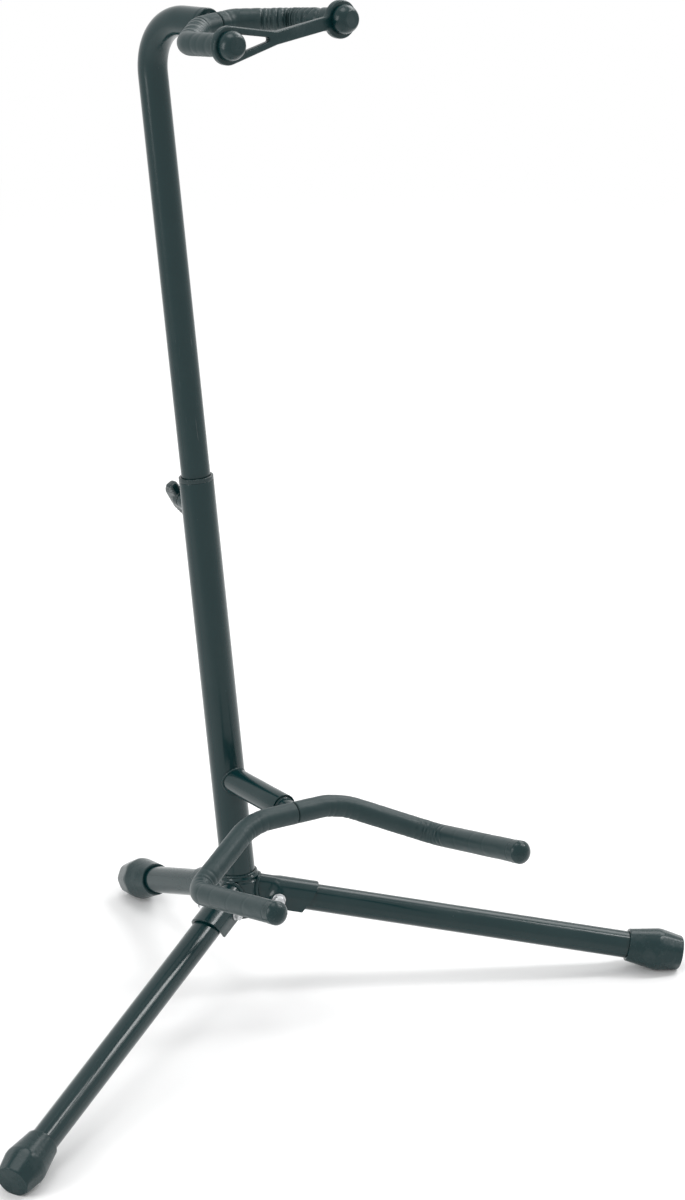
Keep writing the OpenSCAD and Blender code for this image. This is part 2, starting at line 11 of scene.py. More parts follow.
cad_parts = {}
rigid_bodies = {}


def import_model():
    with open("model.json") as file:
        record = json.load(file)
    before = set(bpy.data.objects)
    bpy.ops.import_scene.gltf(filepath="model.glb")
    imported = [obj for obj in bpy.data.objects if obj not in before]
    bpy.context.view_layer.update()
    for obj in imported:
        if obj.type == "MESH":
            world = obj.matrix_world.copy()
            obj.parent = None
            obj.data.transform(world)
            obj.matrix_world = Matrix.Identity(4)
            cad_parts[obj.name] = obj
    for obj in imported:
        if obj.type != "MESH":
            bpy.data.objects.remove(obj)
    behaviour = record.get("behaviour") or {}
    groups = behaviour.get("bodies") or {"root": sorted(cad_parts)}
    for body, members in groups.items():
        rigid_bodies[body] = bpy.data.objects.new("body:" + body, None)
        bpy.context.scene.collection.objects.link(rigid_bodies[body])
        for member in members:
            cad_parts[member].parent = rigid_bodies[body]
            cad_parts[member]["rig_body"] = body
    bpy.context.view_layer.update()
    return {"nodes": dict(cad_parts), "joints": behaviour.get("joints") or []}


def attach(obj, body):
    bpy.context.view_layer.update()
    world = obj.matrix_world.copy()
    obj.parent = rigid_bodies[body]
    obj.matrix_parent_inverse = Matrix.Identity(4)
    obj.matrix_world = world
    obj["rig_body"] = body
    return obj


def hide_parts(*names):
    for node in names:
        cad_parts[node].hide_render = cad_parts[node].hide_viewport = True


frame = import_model()
scene = bpy.context.scene
joints = {joint["name"]: joint for joint in frame["joints"]}
print("frame: %d nodes, %d joints" % (len(frame["nodes"]), len(joints)))

# angles and distances between the places that the frame's joints give
stance = {
    "lean": 9.75,
    "frontDrop": 11.5,
    "rearDrop": 23.0,
    "pivotReach": 0.029,
    "cradleReach": 0.0905,
    "cradleHeight": 0.0805,
    "cradleTurn": 3.5,
    "stubHeight": 0.0855,
    "yokeTurn": 8.5,
    "neckReach": 0.076,
    "neckHeight": 0.6435,
    "clampHeight": 0.292,
}
legTurns = {"left": -150.0, "right": -30.0, "rear": 90.0}
legDrops = {"left": stance["frontDrop"], "right": stance["frontDrop"], "rear": stance["rearDrop"]}

# radii of edges, and gaps between pieces that are seated or that move
ease = {"crisp": 0.0002, "fine": 0.0003, "plain": 0.0004, "firm": 0.0005, "soft": 0.0006, "full": 0.0008}
gap = {"seated": 0.00005, "moving": 0.00008}
merge = {"turned": 1e-7, "cut": 2e-6}  # points closer than this become one
thread = {"skinFrom": 0.98, "steepness": 2.4}  # the steepness leaves the root of the thread flat
drillReach = {"pivot": 0.02, "boss": 0.02, "stub": 0.05, "bar": 0.03}  # half the length of a drill


def turned(degrees, axis):
    return Matrix.Rotation(math.radians(degrees), 4, axis)


def moved(x, y, z):
    return Matrix.Translation((x, y, z))


rearDrop = math.radians(stance["rearDrop"])
rearWay = Vector((0, math.cos(rearDrop), -math.sin(rearDrop)))
hubPoint = Vector(joints["leg_rear_fold"]["pos_m"]) - stance["pivotReach"] * rearWay
atHub = Matrix.Translation(hubPoint)
onColumn = atHub @ turned(-stance["lean"], "X")  # Z runs up the column, Y to the back
onCradle = (onColumn @ moved(0, -stance["cradleReach"], stance["cradleHeight"])
            @ turned(stance["cradleTurn"], "Y"))
stubFall = math.degrees(math.atan2(stance["stubHeight"] - stance["cradleHeight"], stance["cradleReach"]))
stubFoot = onColumn @ moved(0, 0, stance["stubHeight"])
onStub = stubFoot @ turned(90 + stubFall, "X")  # Z runs out along the stub
onMast = onColumn @ turned(stance["yokeTurn"], "Z")
onYoke = onMast @ moved(0, -stance["neckReach"], stance["neckHeight"])
clampSpot = moved(0, 0, stance["clampHeight"]) @ turned(-90, "X")  # seen from the column
onClamp = onColumn @ clampSpot  # Z runs out along the clamp screw
columnWay = onColumn.to_3x3() @ Vector((0, 0, 1))


def onLeg(side):  # X runs out along the leg
    return atHub @ turned(legTurns[side], "Z") @ turned(legDrops[side], "Y")


def boxIn(node, place):  # lowest and highest corner of a CAD node, seen in a place's own axes
    back = place.inverted()
    points = [back @ vertex.co for vertex in frame["nodes"][node].data.vertices]
    low = Vector([min(point[i] for point in points) for i in range(3)])
    high = Vector([max(point[i] for point in points) for i in range(3)])
    return low, high


# Outlines and paths

def alongLine(corners, spacing):
    # the points of an outline, with more between them where two stand further apart than the spacing
    points = [corners[0]]
    for start, end in zip(corners, corners[1:]):
        count = max(1, math.ceil((end - start).length / spacing))
        points += [start.lerp(end, i / count) for i in range(1, count + 1)]
    return points


def outline(corners, closed=False, arcSteps=6, spacing=1.0):
    # corners are (r, z) or (r, z, fillet); each fillet becomes an arc
    points = []
    count = len(corners)
    for i, corner in enumerate(corners):
        here = Vector(corner[:2])
        fillet = corner[2] if len(corner) > 2 else 0
        if not fillet or (not closed and i in (0, count - 1)):
            points.append(here)
            continue
        before = (Vector(corners[i - 1][:2]) - here).normalized()
        after = (Vector(corners[(i + 1) % count][:2]) - here).normalized()
        half = before.angle(after) / 2
        centre = here + (before + after).normalized() * fillet / math.sin(half)
        trim = fillet / math.tan(half)
        start, end = here + before * trim - centre, here + after * trim - centre
        for k in range(arcSteps + 1):
            points.append(centre + start.slerp(end, k / arcSteps).normalized() * fillet)
    if closed:
        points.append(points[0].copy())
    return alongLine(points, spacing)


def dome(radius, middle, start, end, steps):
    # an arc of (r, z) points about (0, middle), its angles measured from the top
    angles = [start + (end - start) * i / steps for i in range(steps + 1)]
    return [Vector((radius * math.sin(angle), middle + radius * math.cos(angle))) for angle in angles]


def arc(x, y, radius, start, end, steps):  # an arc of (x, y) points
    angles = [math.radians(start + (end - start) * i / steps) for i in range(steps + 1)]
    return [(x + radius * math.cos(angle), y + radius * math.sin(angle)) for angle in angles]


def pathFrames(points, bends, step):
    # places along a bent bar, Z ahead, and how far along each one is
    ways = [(b - a).normalized() for a, b in zip(points, points[1:])]
    trims = [0] + [bends[i] * math.tan(ways[i - 1].angle(ways[i]) / 2) for i in range(1, len(ways))] + [0]
    place = Matrix.Translation(points[0]) @ ways[0].to_track_quat("Z", "Y").to_matrix().to_4x4()
    places, reached = [place], [0.0]
    for i, way in enumerate(ways):
        length = (points[i + 1] - points[i]).length - trims[i] - trims[i + 1]
        count = max(1, math.ceil(length / step))
        for _ in range(count):
            place = Matrix.Translation(way * length / count) @ place
            places.append(place)
            reached.append(reached[-1] + length / count)
        if i + 1 == len(ways):
            break
        angle = way.angle(ways[i + 1])
        axis = way.cross(ways[i + 1]).normalized()
        centre = place.translation + axis.cross(way) * bends[i + 1]
        count = max(1, math.ceil(angle * bends[i + 1] / step))
        turn = Matrix.Rotation(angle / count, 4, axis)
        turn = Matrix.Translation(centre) @ turn @ Matrix.Translation(-centre)
        for _ in range(count):
            place = turn @ place
            places.append(place)
            reached.append(reached[-1] + angle * bends[i + 1] / count)
    return places, reached


def bendPlaces(points, bends):
    # where each bend of a path starts and ends and the way to its inner side, and the path's length
    ways = [(b - a).normalized() for a, b in zip(points, points[1:])]
    found, reached, trim = [], 0.0, 0.0
    for i, way in enumerate(ways):
        nextTrim = bends[i + 1] * math.tan(way.angle(ways[i + 1]) / 2) if i + 1 < len(ways) else 0.0
        reached += (points[i + 1] - points[i]).length - trim - nextTrim
        if i + 1 < len(ways):
            angle = way.angle(ways[i + 1])
            inner = (ways[i + 1] - way).normalized()
            found.append((reached, reached + angle * bends[i + 1], inner))
            reached += angle * bends[i + 1]
        trim = nextTrim
    return found, reached


def facing(a, b):  # origin at b, Z in the way from a to b
    return Matrix.Translation(b) @ (b - a).to_track_quat("Z", "Y").to_matrix().to_4x4()


def smoothStep(value, low, high):
    share = max(0.0, min(1.0, (value - low) / (high - low)))
    return share * share * (3 - 2 * share)


def reachCylinder(point, way, axisPoint, axisWay, radius):
    # how far along the way the line leaves a cylinder
    across = way - way.dot(axisWay) * axisWay
    start = (point - axisPoint) - (point - axisPoint).dot(axisWay) * axisWay
    a, b, c = across.dot(across), start.dot(across), start.dot(start) - radius ** 2
    return (-b + math.sqrt(max(b * b - a * c, 0.0))) / a


# Shapes

def shifted(bm, place):
    bmesh.ops.transform(bm, matrix=place, verts=bm.verts[:])
    return bm


def outward(bm):
    bmesh.ops.recalc_face_normals(bm, faces=bm.faces[:])
    return bm


def sided(bm, side):  # arms are modelled on the right, and the left one is mirrored
    if side == "left":
        bmesh.ops.scale(bm, vec=(-1, 1, 1), verts=bm.verts[:])
        bmesh.ops.reverse_faces(bm, faces=bm.faces[:])
    return bm


def revolve(profile, steps=96):
    # spins an outline of (r, z) points about Z
    bm = bmesh.new()
    verts = [bm.verts.new((point.x, 0, point.y)) for point in profile]
    edges = [bm.edges.new(pair) for pair in zip(verts, verts[1:])]
    bmesh.ops.spin(bm, geom=verts + edges, cent=(0, 0, 0), axis=(0, 0, 1), dvec=(0, 0, 0),
                   angle=2 * math.pi, steps=steps, use_merge=True, use_duplicate=False)
    bmesh.ops.remove_doubles(bm, verts=bm.verts[:], dist=merge["turned"])
    return outward(bm)


def spun(corners, closed=False, arcSteps=5, spacing=0.004, steps=96):
    return revolve(outline(corners, closed, arcSteps, spacing), steps)


def rod(radius, low, high, place=None, steps=64):
    # a plain round tool for drilling
    bm = spun([(0, low), (radius, low), (radius, high), (0, high)], spacing=1.0, steps=steps)
    return shifted(bm, place) if place else bm


def spunTube(inner, outer, low, high, rim, innerRim=ease["crisp"], steps=96):
    corners = [(inner, low, innerRim), (outer, low, rim), (outer, high, rim), (inner, high, innerRim)]
    return spun(corners, True, spacing=0.02, steps=steps)


def facet(bm, sides, flatAt, soften=0.0, turn=0.0):
    # draws each vertex in to flat sides; flatAt gives their distance from the axis at a height, or None
    step = 2 * math.pi / sides
    for vert in bm.verts:
        radius = math.hypot(vert.co.x, vert.co.y)
        flat = flatAt(vert.co.z, radius)
        if flat is None or radius < 1e-6:
            continue
        angle = (math.atan2(vert.co.y, vert.co.x) - turn) % step - step / 2
        limit = flat / math.cos(angle)
        if soften:
            over = min((radius - limit) / soften, 40.0)  # the cap keeps exp in range
            limit = radius - soften * math.log1p(math.exp(over))
        if limit < radius:
            vert.co.x *= limit / radius
            vert.co.y *= limit / radius


def threaded(bm, low, high, radius, pitch, depth):
    # winds a thread into a turned bar's skin between two heights
    for vert in bm.verts:
        z, distance = vert.co.z, math.hypot(vert.co.x, vert.co.y)
        if not low < z < high or distance < radius * thread["skinFrom"]:
            continue
        turns = (z / pitch - math.atan2(vert.co.y, vert.co.x) / (2 * math.pi)) % 1.0
        fade = min(1.0, (z - low) / pitch, (high - z) / pitch)
        keep = 1 - depth * fade * min(1.0, thread["steepness"] * abs(turns - 0.5)) / distance
        vert.co.x *= keep
        vert.co.y *= keep


def sweep(bm, places, reached, radiusAt, segments):
    # a round skin through the places; returns its first and last ring of edges
    made = bmesh.ops.create_circle(bm, cap_ends=False, radius=1.0, segments=segments, matrix=places[0])
    verts = made["verts"]
    ring = [edge for edge in bm.edges if all(vert in verts for vert in edge.verts)]
    first = ring
    for i, place in enumerate(places):
        if i:
            made = bmesh.ops.extrude_edge_only(bm, edges=ring)
            verts = [item for item in made["geom"] if isinstance(item, bmesh.types.BMVert)]
            ring = [item for item in made["geom"] if isinstance(item, bmesh.types.BMEdge)
                    and all(vert in verts for vert in item.verts)]
            bmesh.ops.transform(bm, matrix=place @ places[i - 1].inverted(), verts=verts)
        middle = place.translation
        for vert in verts:
            out = (vert.co - middle).normalized()
            vert.co = middle + out * radiusAt(reached[i], out)
    return first, ring


def shell(points, bends, step, outer, inner, segments, innerStep=0.004):
    # a closed tube along a bent path, its outer skin shaped by a function
    bm = bmesh.new()
    outside = sweep(bm, *pathFrames(points, bends, step), outer, segments)
    inside = sweep(bm, *pathFrames(points, bends, innerStep), lambda s, out: inner, segments)
    for pair in zip(outside, inside):
        bmesh.ops.bridge_loops(bm, edges=pair[0] + pair[1])
    return outward(bm)


def solidBar(places, reached, radiusAt, segments, closed=False):
    # a solid bar through the places, with capped ends or, on a closed path, with its ends joined
    bm = bmesh.new()
    first, last = sweep(bm, places, reached, radiusAt, segments)
    if closed:
        bmesh.ops.bridge_loops(bm, edges=first + last)
    else:
        for ring in (first, last):
            bmesh.ops.contextual_create(bm, geom=ring)
    return outward(bm)


def holderOf(bm, name):
    # a new object in the scene with a bmesh's shape
    mesh = bpy.data.meshes.new(name)
    bm.to_mesh(mesh)
    bm.free()
    holder = bpy.data.objects.new(name, mesh)
    scene.collection.objects.link(holder)
    return holder


def bakedFrom(holder):
    # the shape of an object with its modifiers applied; the object goes
    graph = bpy.context.evaluated_depsgraph_get()
    made = bpy.data.meshes.new_from_object(holder.evaluated_get(graph))
    bm = bmesh.new()
    bm.from_mesh(made)
    bpy.data.batch_remove([made, holder, holder.data])
    return bm


def drill(bm, tool):
    # takes a tool's shape away from a solid
    solid, cutter = holderOf(bm, "solid"), holderOf(tool, "cutter")
    cut = solid.modifiers.new("cut", "BOOLEAN")
    cut.operation = "DIFFERENCE"
    cut.solver = "EXACT"
    cut.object = cutter
    result = bakedFrom(solid)
    bpy.data.batch_remove([cutter, cutter.data])
    bmesh.ops.remove_doubles(result, verts=result.verts[:], dist=merge["cut"])
    return result


def blendSolids(bm, voxel, rounds):
    # melts overlapping solids into one moulded skin
    rough = holderOf(bm, "rough")
    remesh = rough.modifiers.new("melt", "REMESH")
    remesh.mode = "VOXEL"
    remesh.voxel_size = voxel
    smooth = rough.modifiers.new("ease", "SMOOTH")
    smooth.factor = 0.5
    smooth.iterations = rounds
    return bakedFrom(rough)


def plate(loops, depth, rim):
    # a plate with eased edges from closed outlines, the first one outside and the rest holes
    curve = bpy.data.curves.new("plate", "CURVE")
    curve.dimensions = "2D"
    curve.fill_mode = "BOTH"
    curve.extrude = depth / 2 - rim
    curve.bevel_depth = rim
    curve.bevel_resolution = 3
    curve.offset = -rim
    for points in loops:
        spline = curve.splines.new("POLY")
        spline.points.add(len(points) - 1)
        for item, point in zip(spline.points, points):
            item.co = (point[0], point[1], 0, 1)
        spline.use_cyclic_u = True
    holder = bpy.data.objects.new("plate", curve)
    scene.collection.objects.link(holder)
    bm = bakedFrom(holder)
    bmesh.ops.remove_doubles(bm, verts=bm.verts[:], dist=merge["cut"])
    return outward(bm)


def joinInto(bm, other):
    # adds a second bmesh to the first
    mesh = bpy.data.meshes.new("joined")
    other.to_mesh(mesh)
    other.free()
    bm.from_mesh(mesh)
    bpy.data.meshes.remove(mesh)


def addPiece(node, bm, material, place=None, angle=30, name=None):
    # makes a mesh the piece that stands for a CAD node or a part of it; edges over the angle stay sharp
    if place:
        shifted(bm, place)
    for face in bm.faces:
        face.smooth = True
    for edge in bm.edges:
        edge.smooth = len(edge.link_faces) != 2 or edge.calc_face_angle() < math.radians(angle)
    first, *others = (name or node).split("_")
    piece = holderOf(bm, first + "".join(word.capitalize() for word in others))
    piece.data.materials.append(material)
    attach(piece, frame["nodes"][node]["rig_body"])
    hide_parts(node)
    return piece


weld = {"sides": 14, "ripple": 0.10, "ripplePitch": 0.0011, "unevenness": 0.16, "unevenScale": 160}


def outOfColumn(point):
    offset = point - hubPoint
    return (offset - offset.dot(columnWay) * columnWay).normalized()


def bead(points, size, seed, closed=False):
    # a rippled weld along a line of points on the column's skin
    places, reached = [], [0.0]
    count = len(points)
    for i, point in enumerate(points):
        after = points[(i + 1) % count] if closed else points[min(i + 1, count - 1)]
        before = points[i - 1] if closed or i else points[0]
        ahead = (after - before).normalized()
        out = outOfColumn(point)
        out = (out - out.dot(ahead) * ahead).normalized()
        places.append(Matrix((out, ahead.cross(out), ahead)).transposed().to_4x4())
        places[-1].translation = point
        if i:
            reached.append(reached[-1] + (point - points[i - 1]).length)

    def swell(s, out):
        ripple = weld["ripple"] * math.sin(s / weld["ripplePitch"] * math.pi)
        uneven = weld["unevenness"] * noise.noise(Vector((s * weld["unevenScale"], seed, 0.5)))
        return size * (1 + (ripple + uneven))

    return solidBar(places, reached, swell, weld["sides"], closed)


def ringOn(place, radius, axisRadius, steps=96):
    # where a tube that leaves a round column meets the column's skin
    way = place.to_3x3() @ Vector((0, 0, 1))
    points = []
    for i in range(steps):
        angle = 2 * math.pi * i / steps
        start = place @ Vector((radius * math.cos(angle), radius * math.sin(angle), 0))
        points.append(start + way * reachCylinder(start, way, hubPoint, columnWay, axisRadius))
    return points


# Materials

class Value:  # a number socket that Python's operators work on
    def __init__(self, nodes, socket):
        self.nodes = nodes
        self.socket = socket

    def maths(self, operation, first, second):
        return self.nodes.number("ShaderNodeMath", {"operation": operation}, {0: first, 1: second})

    def larger(self, other):
        return self.maths("MAXIMUM", self, other)

    def __add__(self, other):
        return self.maths("ADD", self, other)

    def __sub__(self, other):
        return self.maths("SUBTRACT", self, other)

    def __mul__(self, other):
        return self.maths("MULTIPLY", self, other)

    def __radd__(self, other):
        return self.maths("ADD", other, self)

    def __rsub__(self, other):
        return self.maths("SUBTRACT", other, self)

    def __rmul__(self, other):
        return self.maths("MULTIPLY", other, self)


class Nodes:  # the node tree of a material or a world
    def __init__(self, owner):
        owner.use_nodes = True
        self.owner = owner
        self.tree = owner.node_tree
        self.tree.nodes.clear()

    def node(self, kind, settings, inputs):
        made = self.tree.nodes.new(kind)
        for name, value in settings.items():
            setattr(made, name, value)
        for name, value in inputs.items():
            if isinstance(value, Value):
                value = value.socket
            if isinstance(value, bpy.types.NodeSocket):
                self.tree.links.new(value, made.inputs[name])
            elif isinstance(value, tuple) and made.inputs[name].type == "RGBA":
                made.inputs[name].default_value = (*value, 1)
            else:
                made.inputs[name].default_value = value
        return made

    def number(self, kind, settings, inputs):
        return Value(self, self.node(kind, settings, inputs).outputs[0])

    def seen(self):  # 1 for rays from the camera, a mirror or glass
        path = self.node("ShaderNodeLightPath", {}, {}).outputs
        camera, glossy, through = [Value(self, path["Is %s Ray" % kind])
                                   for kind in ("Camera", "Glossy", "Transmission")]
        return camera.larger(glossy).larger(through)


class Finish(Nodes):  # one material on Object coordinates
    def __init__(self, name):
        super().__init__(bpy.data.materials.new(name))
        self.place = self.node("ShaderNodeTexCoord", {}, {}).outputs["Object"]

    def mapped(self, vector, inputs):
        inputs = {"Vector": vector, **inputs}
        return self.node("ShaderNodeMapping", {"vector_type": "POINT"}, inputs).outputs[0]

    def seenFrom(self, place):  # Object coordinates seen in a place's own axes
        back = place.inverted()
        turn = tuple(back.to_euler())
        return self.mapped(self.place, {"Location": tuple(back.translation), "Rotation": turn})

    def height(self, vector):
        return self.node("ShaderNodeSeparateXYZ", {}, {"Vector": vector}).outputs["Z"]

    def noise(self, scale, detail, roughness, vector=None, distortion=0.0):
        return self.number("ShaderNodeTexNoise", {}, {
            "Vector": vector or self.place, "Scale": scale, "Detail": detail, "Roughness": roughness,
            "Distortion": distortion})

    def ramp(self, value, low, high):  # 0 below low, 1 above high, smooth between
        return self.number("ShaderNodeMapRange", {"interpolation_type": "SMOOTHSTEP"},
                           {"Value": value, "From Min": low, "From Max": high})

    def mix(self, share, first, second):
        return self.node("ShaderNodeMix", {"data_type": "RGBA"},
                         {"Factor": share, "A": first, "B": second}).outputs["Result"]

    def bump(self, height, distance, strength):
        return self.node("ShaderNodeBump", {}, {
            "Height": height, "Distance": distance, "Strength": strength}).outputs[0]

    def output(self, shader):
        self.node("ShaderNodeOutputMaterial", {}, {"Surface": shader.outputs[0]})
        return self.owner

    def shade(self, colour, rough, normal, extras):
        return self.output(self.node("ShaderNodeBsdfPrincipled", {}, {
            "Base Color": colour, "Roughness": rough, "Normal": normal, **extras}))


# in each finish a noise is (scale, detail, roughness) and its edges say where a patch fades in
powderCoat = {
    "colour": (0.001, 0.019, 0.021),
    "dusty": (0.009, 0.028, 0.030),
    "worn": (0.050, 0.062, 0.064),
    "roughness": 0.21,
    "dust": (14.0, 5.0, 0.62),
    "dustEdges": (0.46, 0.80),
    "dustShare": 0.55,
    "dustRough": 0.10,
    "blotch": (60.0, 3.0, 0.55),
    "blotchRough": 0.07,
    "chips": (170.0, 4.0, 0.7),
    "chipEdges": (0.725, 0.76),
    "chipShare": 0.7,
    "chipRough": 0.15,
    "peel": (520.0, 2.0, 0.5),
    "grain": (2080.0, 1.0, 0.5),
    "grainShare": 0.35,
    "peelHeight": 0.00005,
    "streaks": (900.0, 3.0, 0.6),
    "streakEdges": (0.60, 0.74),
    "streakStretch": 0.04,
    "streakShare": 0.6,
    "streakRough": 0.1,
    "streakFade": 0.03,
}
powderCoatGloss = {"Specular IOR Level": 0.28, "Coat Weight": 0.18, "Coat Roughness": 0.08}


def powderCoatFinish(name, slideMarks=None):
    # satin black paint with orange peel; slideMarks rubs a tube that slides: (place, low, high)
    finish, look = Finish(name), powderCoat
    dust = finish.ramp(finish.noise(*look["dust"]), *look["dustEdges"])
    blotch = finish.noise(*look["blotch"])
    colour = finish.mix(dust * look["dustShare"], look["colour"], look["dusty"])
    rough = look["roughness"] + look["dustRough"] * dust + look["blotchRough"] * (blotch - 0.5)
    peel = finish.noise(*look["peel"])
    grain = finish.noise(*look["grain"])
    chips = finish.ramp(finish.noise(*look["chips"]), *look["chipEdges"])
    colour = finish.mix(chips * look["chipShare"], colour, look["worn"])
    rough = rough + look["chipRough"] * chips
    if slideMarks:
        place, low, high = slideMarks
        local = finish.seenFrom(place)
        along, fade = finish.height(local), look["streakFade"]
        band = finish.ramp(along, low, low + fade) * (1 - finish.ramp(along, high - fade, high))
        stretched = finish.mapped(local, {"Scale": (1.0, 1.0, look["streakStretch"])})
        streaks = finish.ramp(finish.noise(*look["streaks"], stretched), *look["streakEdges"]) * band
        colour = finish.mix(streaks * look["streakShare"], colour, look["worn"])
        rough = rough + look["streakRough"] * streaks
    normal = finish.bump(peel + look["grainShare"] * grain, look["peelHeight"], 0.5)
    return finish.shade(colour, rough, normal, powderCoatGloss)


foamSkin = {
    "colour": (0.004, 0.022, 0.024),
    "pale": (0.030, 0.050, 0.052),
    "roughness": 0.38,
    "bloom": (34.0, 5.0, 0.65),
    "bloomEdges": (0.40, 0.78),
    "bloomShare": 0.30,
    "bloomRough": 0.10,
    "mottle": (260.0, 3.0, 0.6),
    "mottleShare": 0.14,
    "mottleRough": 0.10,
    "poreScale": 1500.0,
    "fine": (3800.0, 2.0, 0.6),
    "poreShares": (0.6, 0.4, 0.8),
    "poreHeight": 0.00012,
}
foamSheen = {"Specular IOR Level": 0.34, "Sheen Weight": 0.05, "Sheen Roughness": 0.4}


def foamSkinFinish(name):
    # closed-cell foam rubber: fine pores, faint mottling and a bloom of dust
    finish, look = Finish(name), foamSkin
    pores = finish.number("ShaderNodeTexVoronoi", {"feature": "F1"},
                          {"Vector": finish.place, "Scale": look["poreScale"]})
    fine = finish.noise(*look["fine"])
    bloom = finish.ramp(finish.noise(*look["bloom"]), *look["bloomEdges"])
    mottled = finish.noise(*look["mottle"])
    pale = bloom * look["bloomShare"] + mottled * look["mottleShare"]
    colour = finish.mix(pale, look["colour"], look["pale"])
    rough = look["roughness"] + look["bloomRough"] * bloom + look["mottleRough"] * (mottled - 0.5)
    first, second, third = look["poreShares"]
    normal = finish.bump(first * pores + second * fine + third * mottled, look["poreHeight"], 0.55)
    return finish.shade(colour, rough, normal, foamSheen)


mouldedRubber = {
    "colour": (0.001, 0.019, 0.021),
    "scuffed": (0.048, 0.066, 0.068),
    "roughness": 0.27,
    "cloud": (70.0, 4.0, 0.6),
    "cloudEdges": (0.45, 0.85),
    "cloudShare": 0.45,
    "cloudRough": 0.16,
    "grain": (2400.0, 2.0, 0.55),
    "grainRough": 0.05,
    "grainHeight": 0.00006,
    "scratches": (420.0, 4.0, 0.7),
    "scratchEdges": (0.50, 0.72),
    "scratchBend": 1.2,
    "scratchShare": 0.8,
    "scratchRough": 0.2,
}


def mouldedRubberFinish(name, scuffs=None):
    # smooth black rubber; scuffs fade out between two heights over the floor
    finish, look = Finish(name), mouldedRubber
    cloud = finish.noise(*look["cloud"])
    grain = finish.noise(*look["grain"])
    worn = finish.ramp(cloud, *look["cloudEdges"]) * look["cloudShare"]
    colour = finish.mix(worn, look["colour"], look["scuffed"])
    rough = look["roughness"] + look["cloudRough"] * (cloud - 0.5) + look["grainRough"] * (grain - 0.5)
    if scuffs:
        low = 1 - finish.ramp(finish.height(finish.place), *scuffs)
        scratches = finish.noise(*look["scratches"], distortion=look["scratchBend"])
        scratches = low * finish.ramp(scratches, *look["scratchEdges"])
        colour = finish.mix(scratches * look["scratchShare"], colour, look["scuffed"])
        rough = rough + look["scratchRough"] * scratches
    normal = finish.bump(grain + 0.5 * cloud, look["grainHeight"], 0.5)
    return finish.shade(colour, rough, normal, {"Specular IOR Level": 0.33})


zincPlate = {
    "colour": (0.60, 0.61, 0.62),
    "dull": (0.36, 0.37, 0.38),
    "roughness": 0.26,
    "cloud": (220.0, 4.0, 0.6),
    "cloudEdges": (0.4, 0.8),
    "cloudShare": 0.6,
    "cloudRough": 0.18,
    "lines": (2600.0, 2.0, 0.7),
    "lineRough": 0.06,
    "lineHeight": 0.00002,
}


def zincPlateFinish(name):
    finish, look = Finish(name), zincPlate
    cloud = finish.noise(*look["cloud"])
    lines = finish.noise(*look["lines"])
    dulled = finish.ramp(cloud, *look["cloudEdges"]) * look["cloudShare"]
    colour = finish.mix(dulled, look["colour"], look["dull"])
    rough = look["roughness"] + look["cloudRough"] * cloud + look["lineRough"] * (lines - 0.5)
    normal = finish.bump(lines, look["lineHeight"], 0.35)
    return finish.shade(colour, rough, normal, {"Metallic": 1.0})


blackPlastic = {
    "colour": (0.001, 0.016, 0.018),
    "pale": (0.022, 0.038, 0.040),
    "roughness": 0.26,
    "cloud": (90.0, 3.0, 0.6),
    "cloudEdges": (0.45, 0.85),
    "cloudShare": 0.4,
    "cloudRough": 0.12,
    "spark": (3200.0, 2.0, 0.6),
    "sparkHeight": 0.00004,
}


def blackPlasticFinish(name):
    finish, look = Finish(name), blackPlastic
    cloud = finish.noise(*look["cloud"])
    spark = finish.noise(*look["spark"])
    faded = finish.ramp(cloud, *look["cloudEdges"]) * look["cloudShare"]
    colour = finish.mix(faded, look["colour"], look["pale"])
    rough = look["roughness"] + look["cloudRough"] * (cloud - 0.5)
    normal = finish.bump(spark, look["sparkHeight"], 0.4)
    return finish.shade(colour, rough, normal, {"Specular IOR Level": 0.45})


mastRubbed = (onMast, 0.22, 0.44)  # the stretch of the mast that slides in the column
footScuffed = (0.002, 0.013)

paint = powderCoatFinish("paintBlack")
mastPaint = powderCoatFinish("paintMast", mastRubbed)
foam = foamSkinFinish("foamSkin")
rubber = mouldedRubberFinish("rubberMoulded")
footRubber = mouldedRubberFinish("rubberFoot", footScuffed)
steel = zincPlateFinish("steelZinc")
plastic = blackPlasticFinish("plasticBlack")
print("finishes: %d" % len(bpy.data.materials))


# Feet

footShape = {
    "bore": 0.01005,
    "boreFillet": 0.001,
    "floor": 0.005,
    "collar": 0.012,
    "collarFlare": 0.0006,
    "collarLength": 0.0041,
    "collarFillet": 0.004,
    "mouthFillet": 0.0007,
    "widest": 0.0156,
    "waistFillet": 0.006,
    "shoulderFillet": 0.0022,
    "nose": 0.0125,
    "noseLength": 0.016,
    "noseFillet": 0.0014,
    "band": 0.003,
    "facets": 8,
    "facetWide": 0.01515,
    "facetNose": 0.0119,
    "facetSoft": 0.00022,
    "facetTurn": 11,
    "boreWall": 0.0006,
    "boreFloor": 0.002,
}


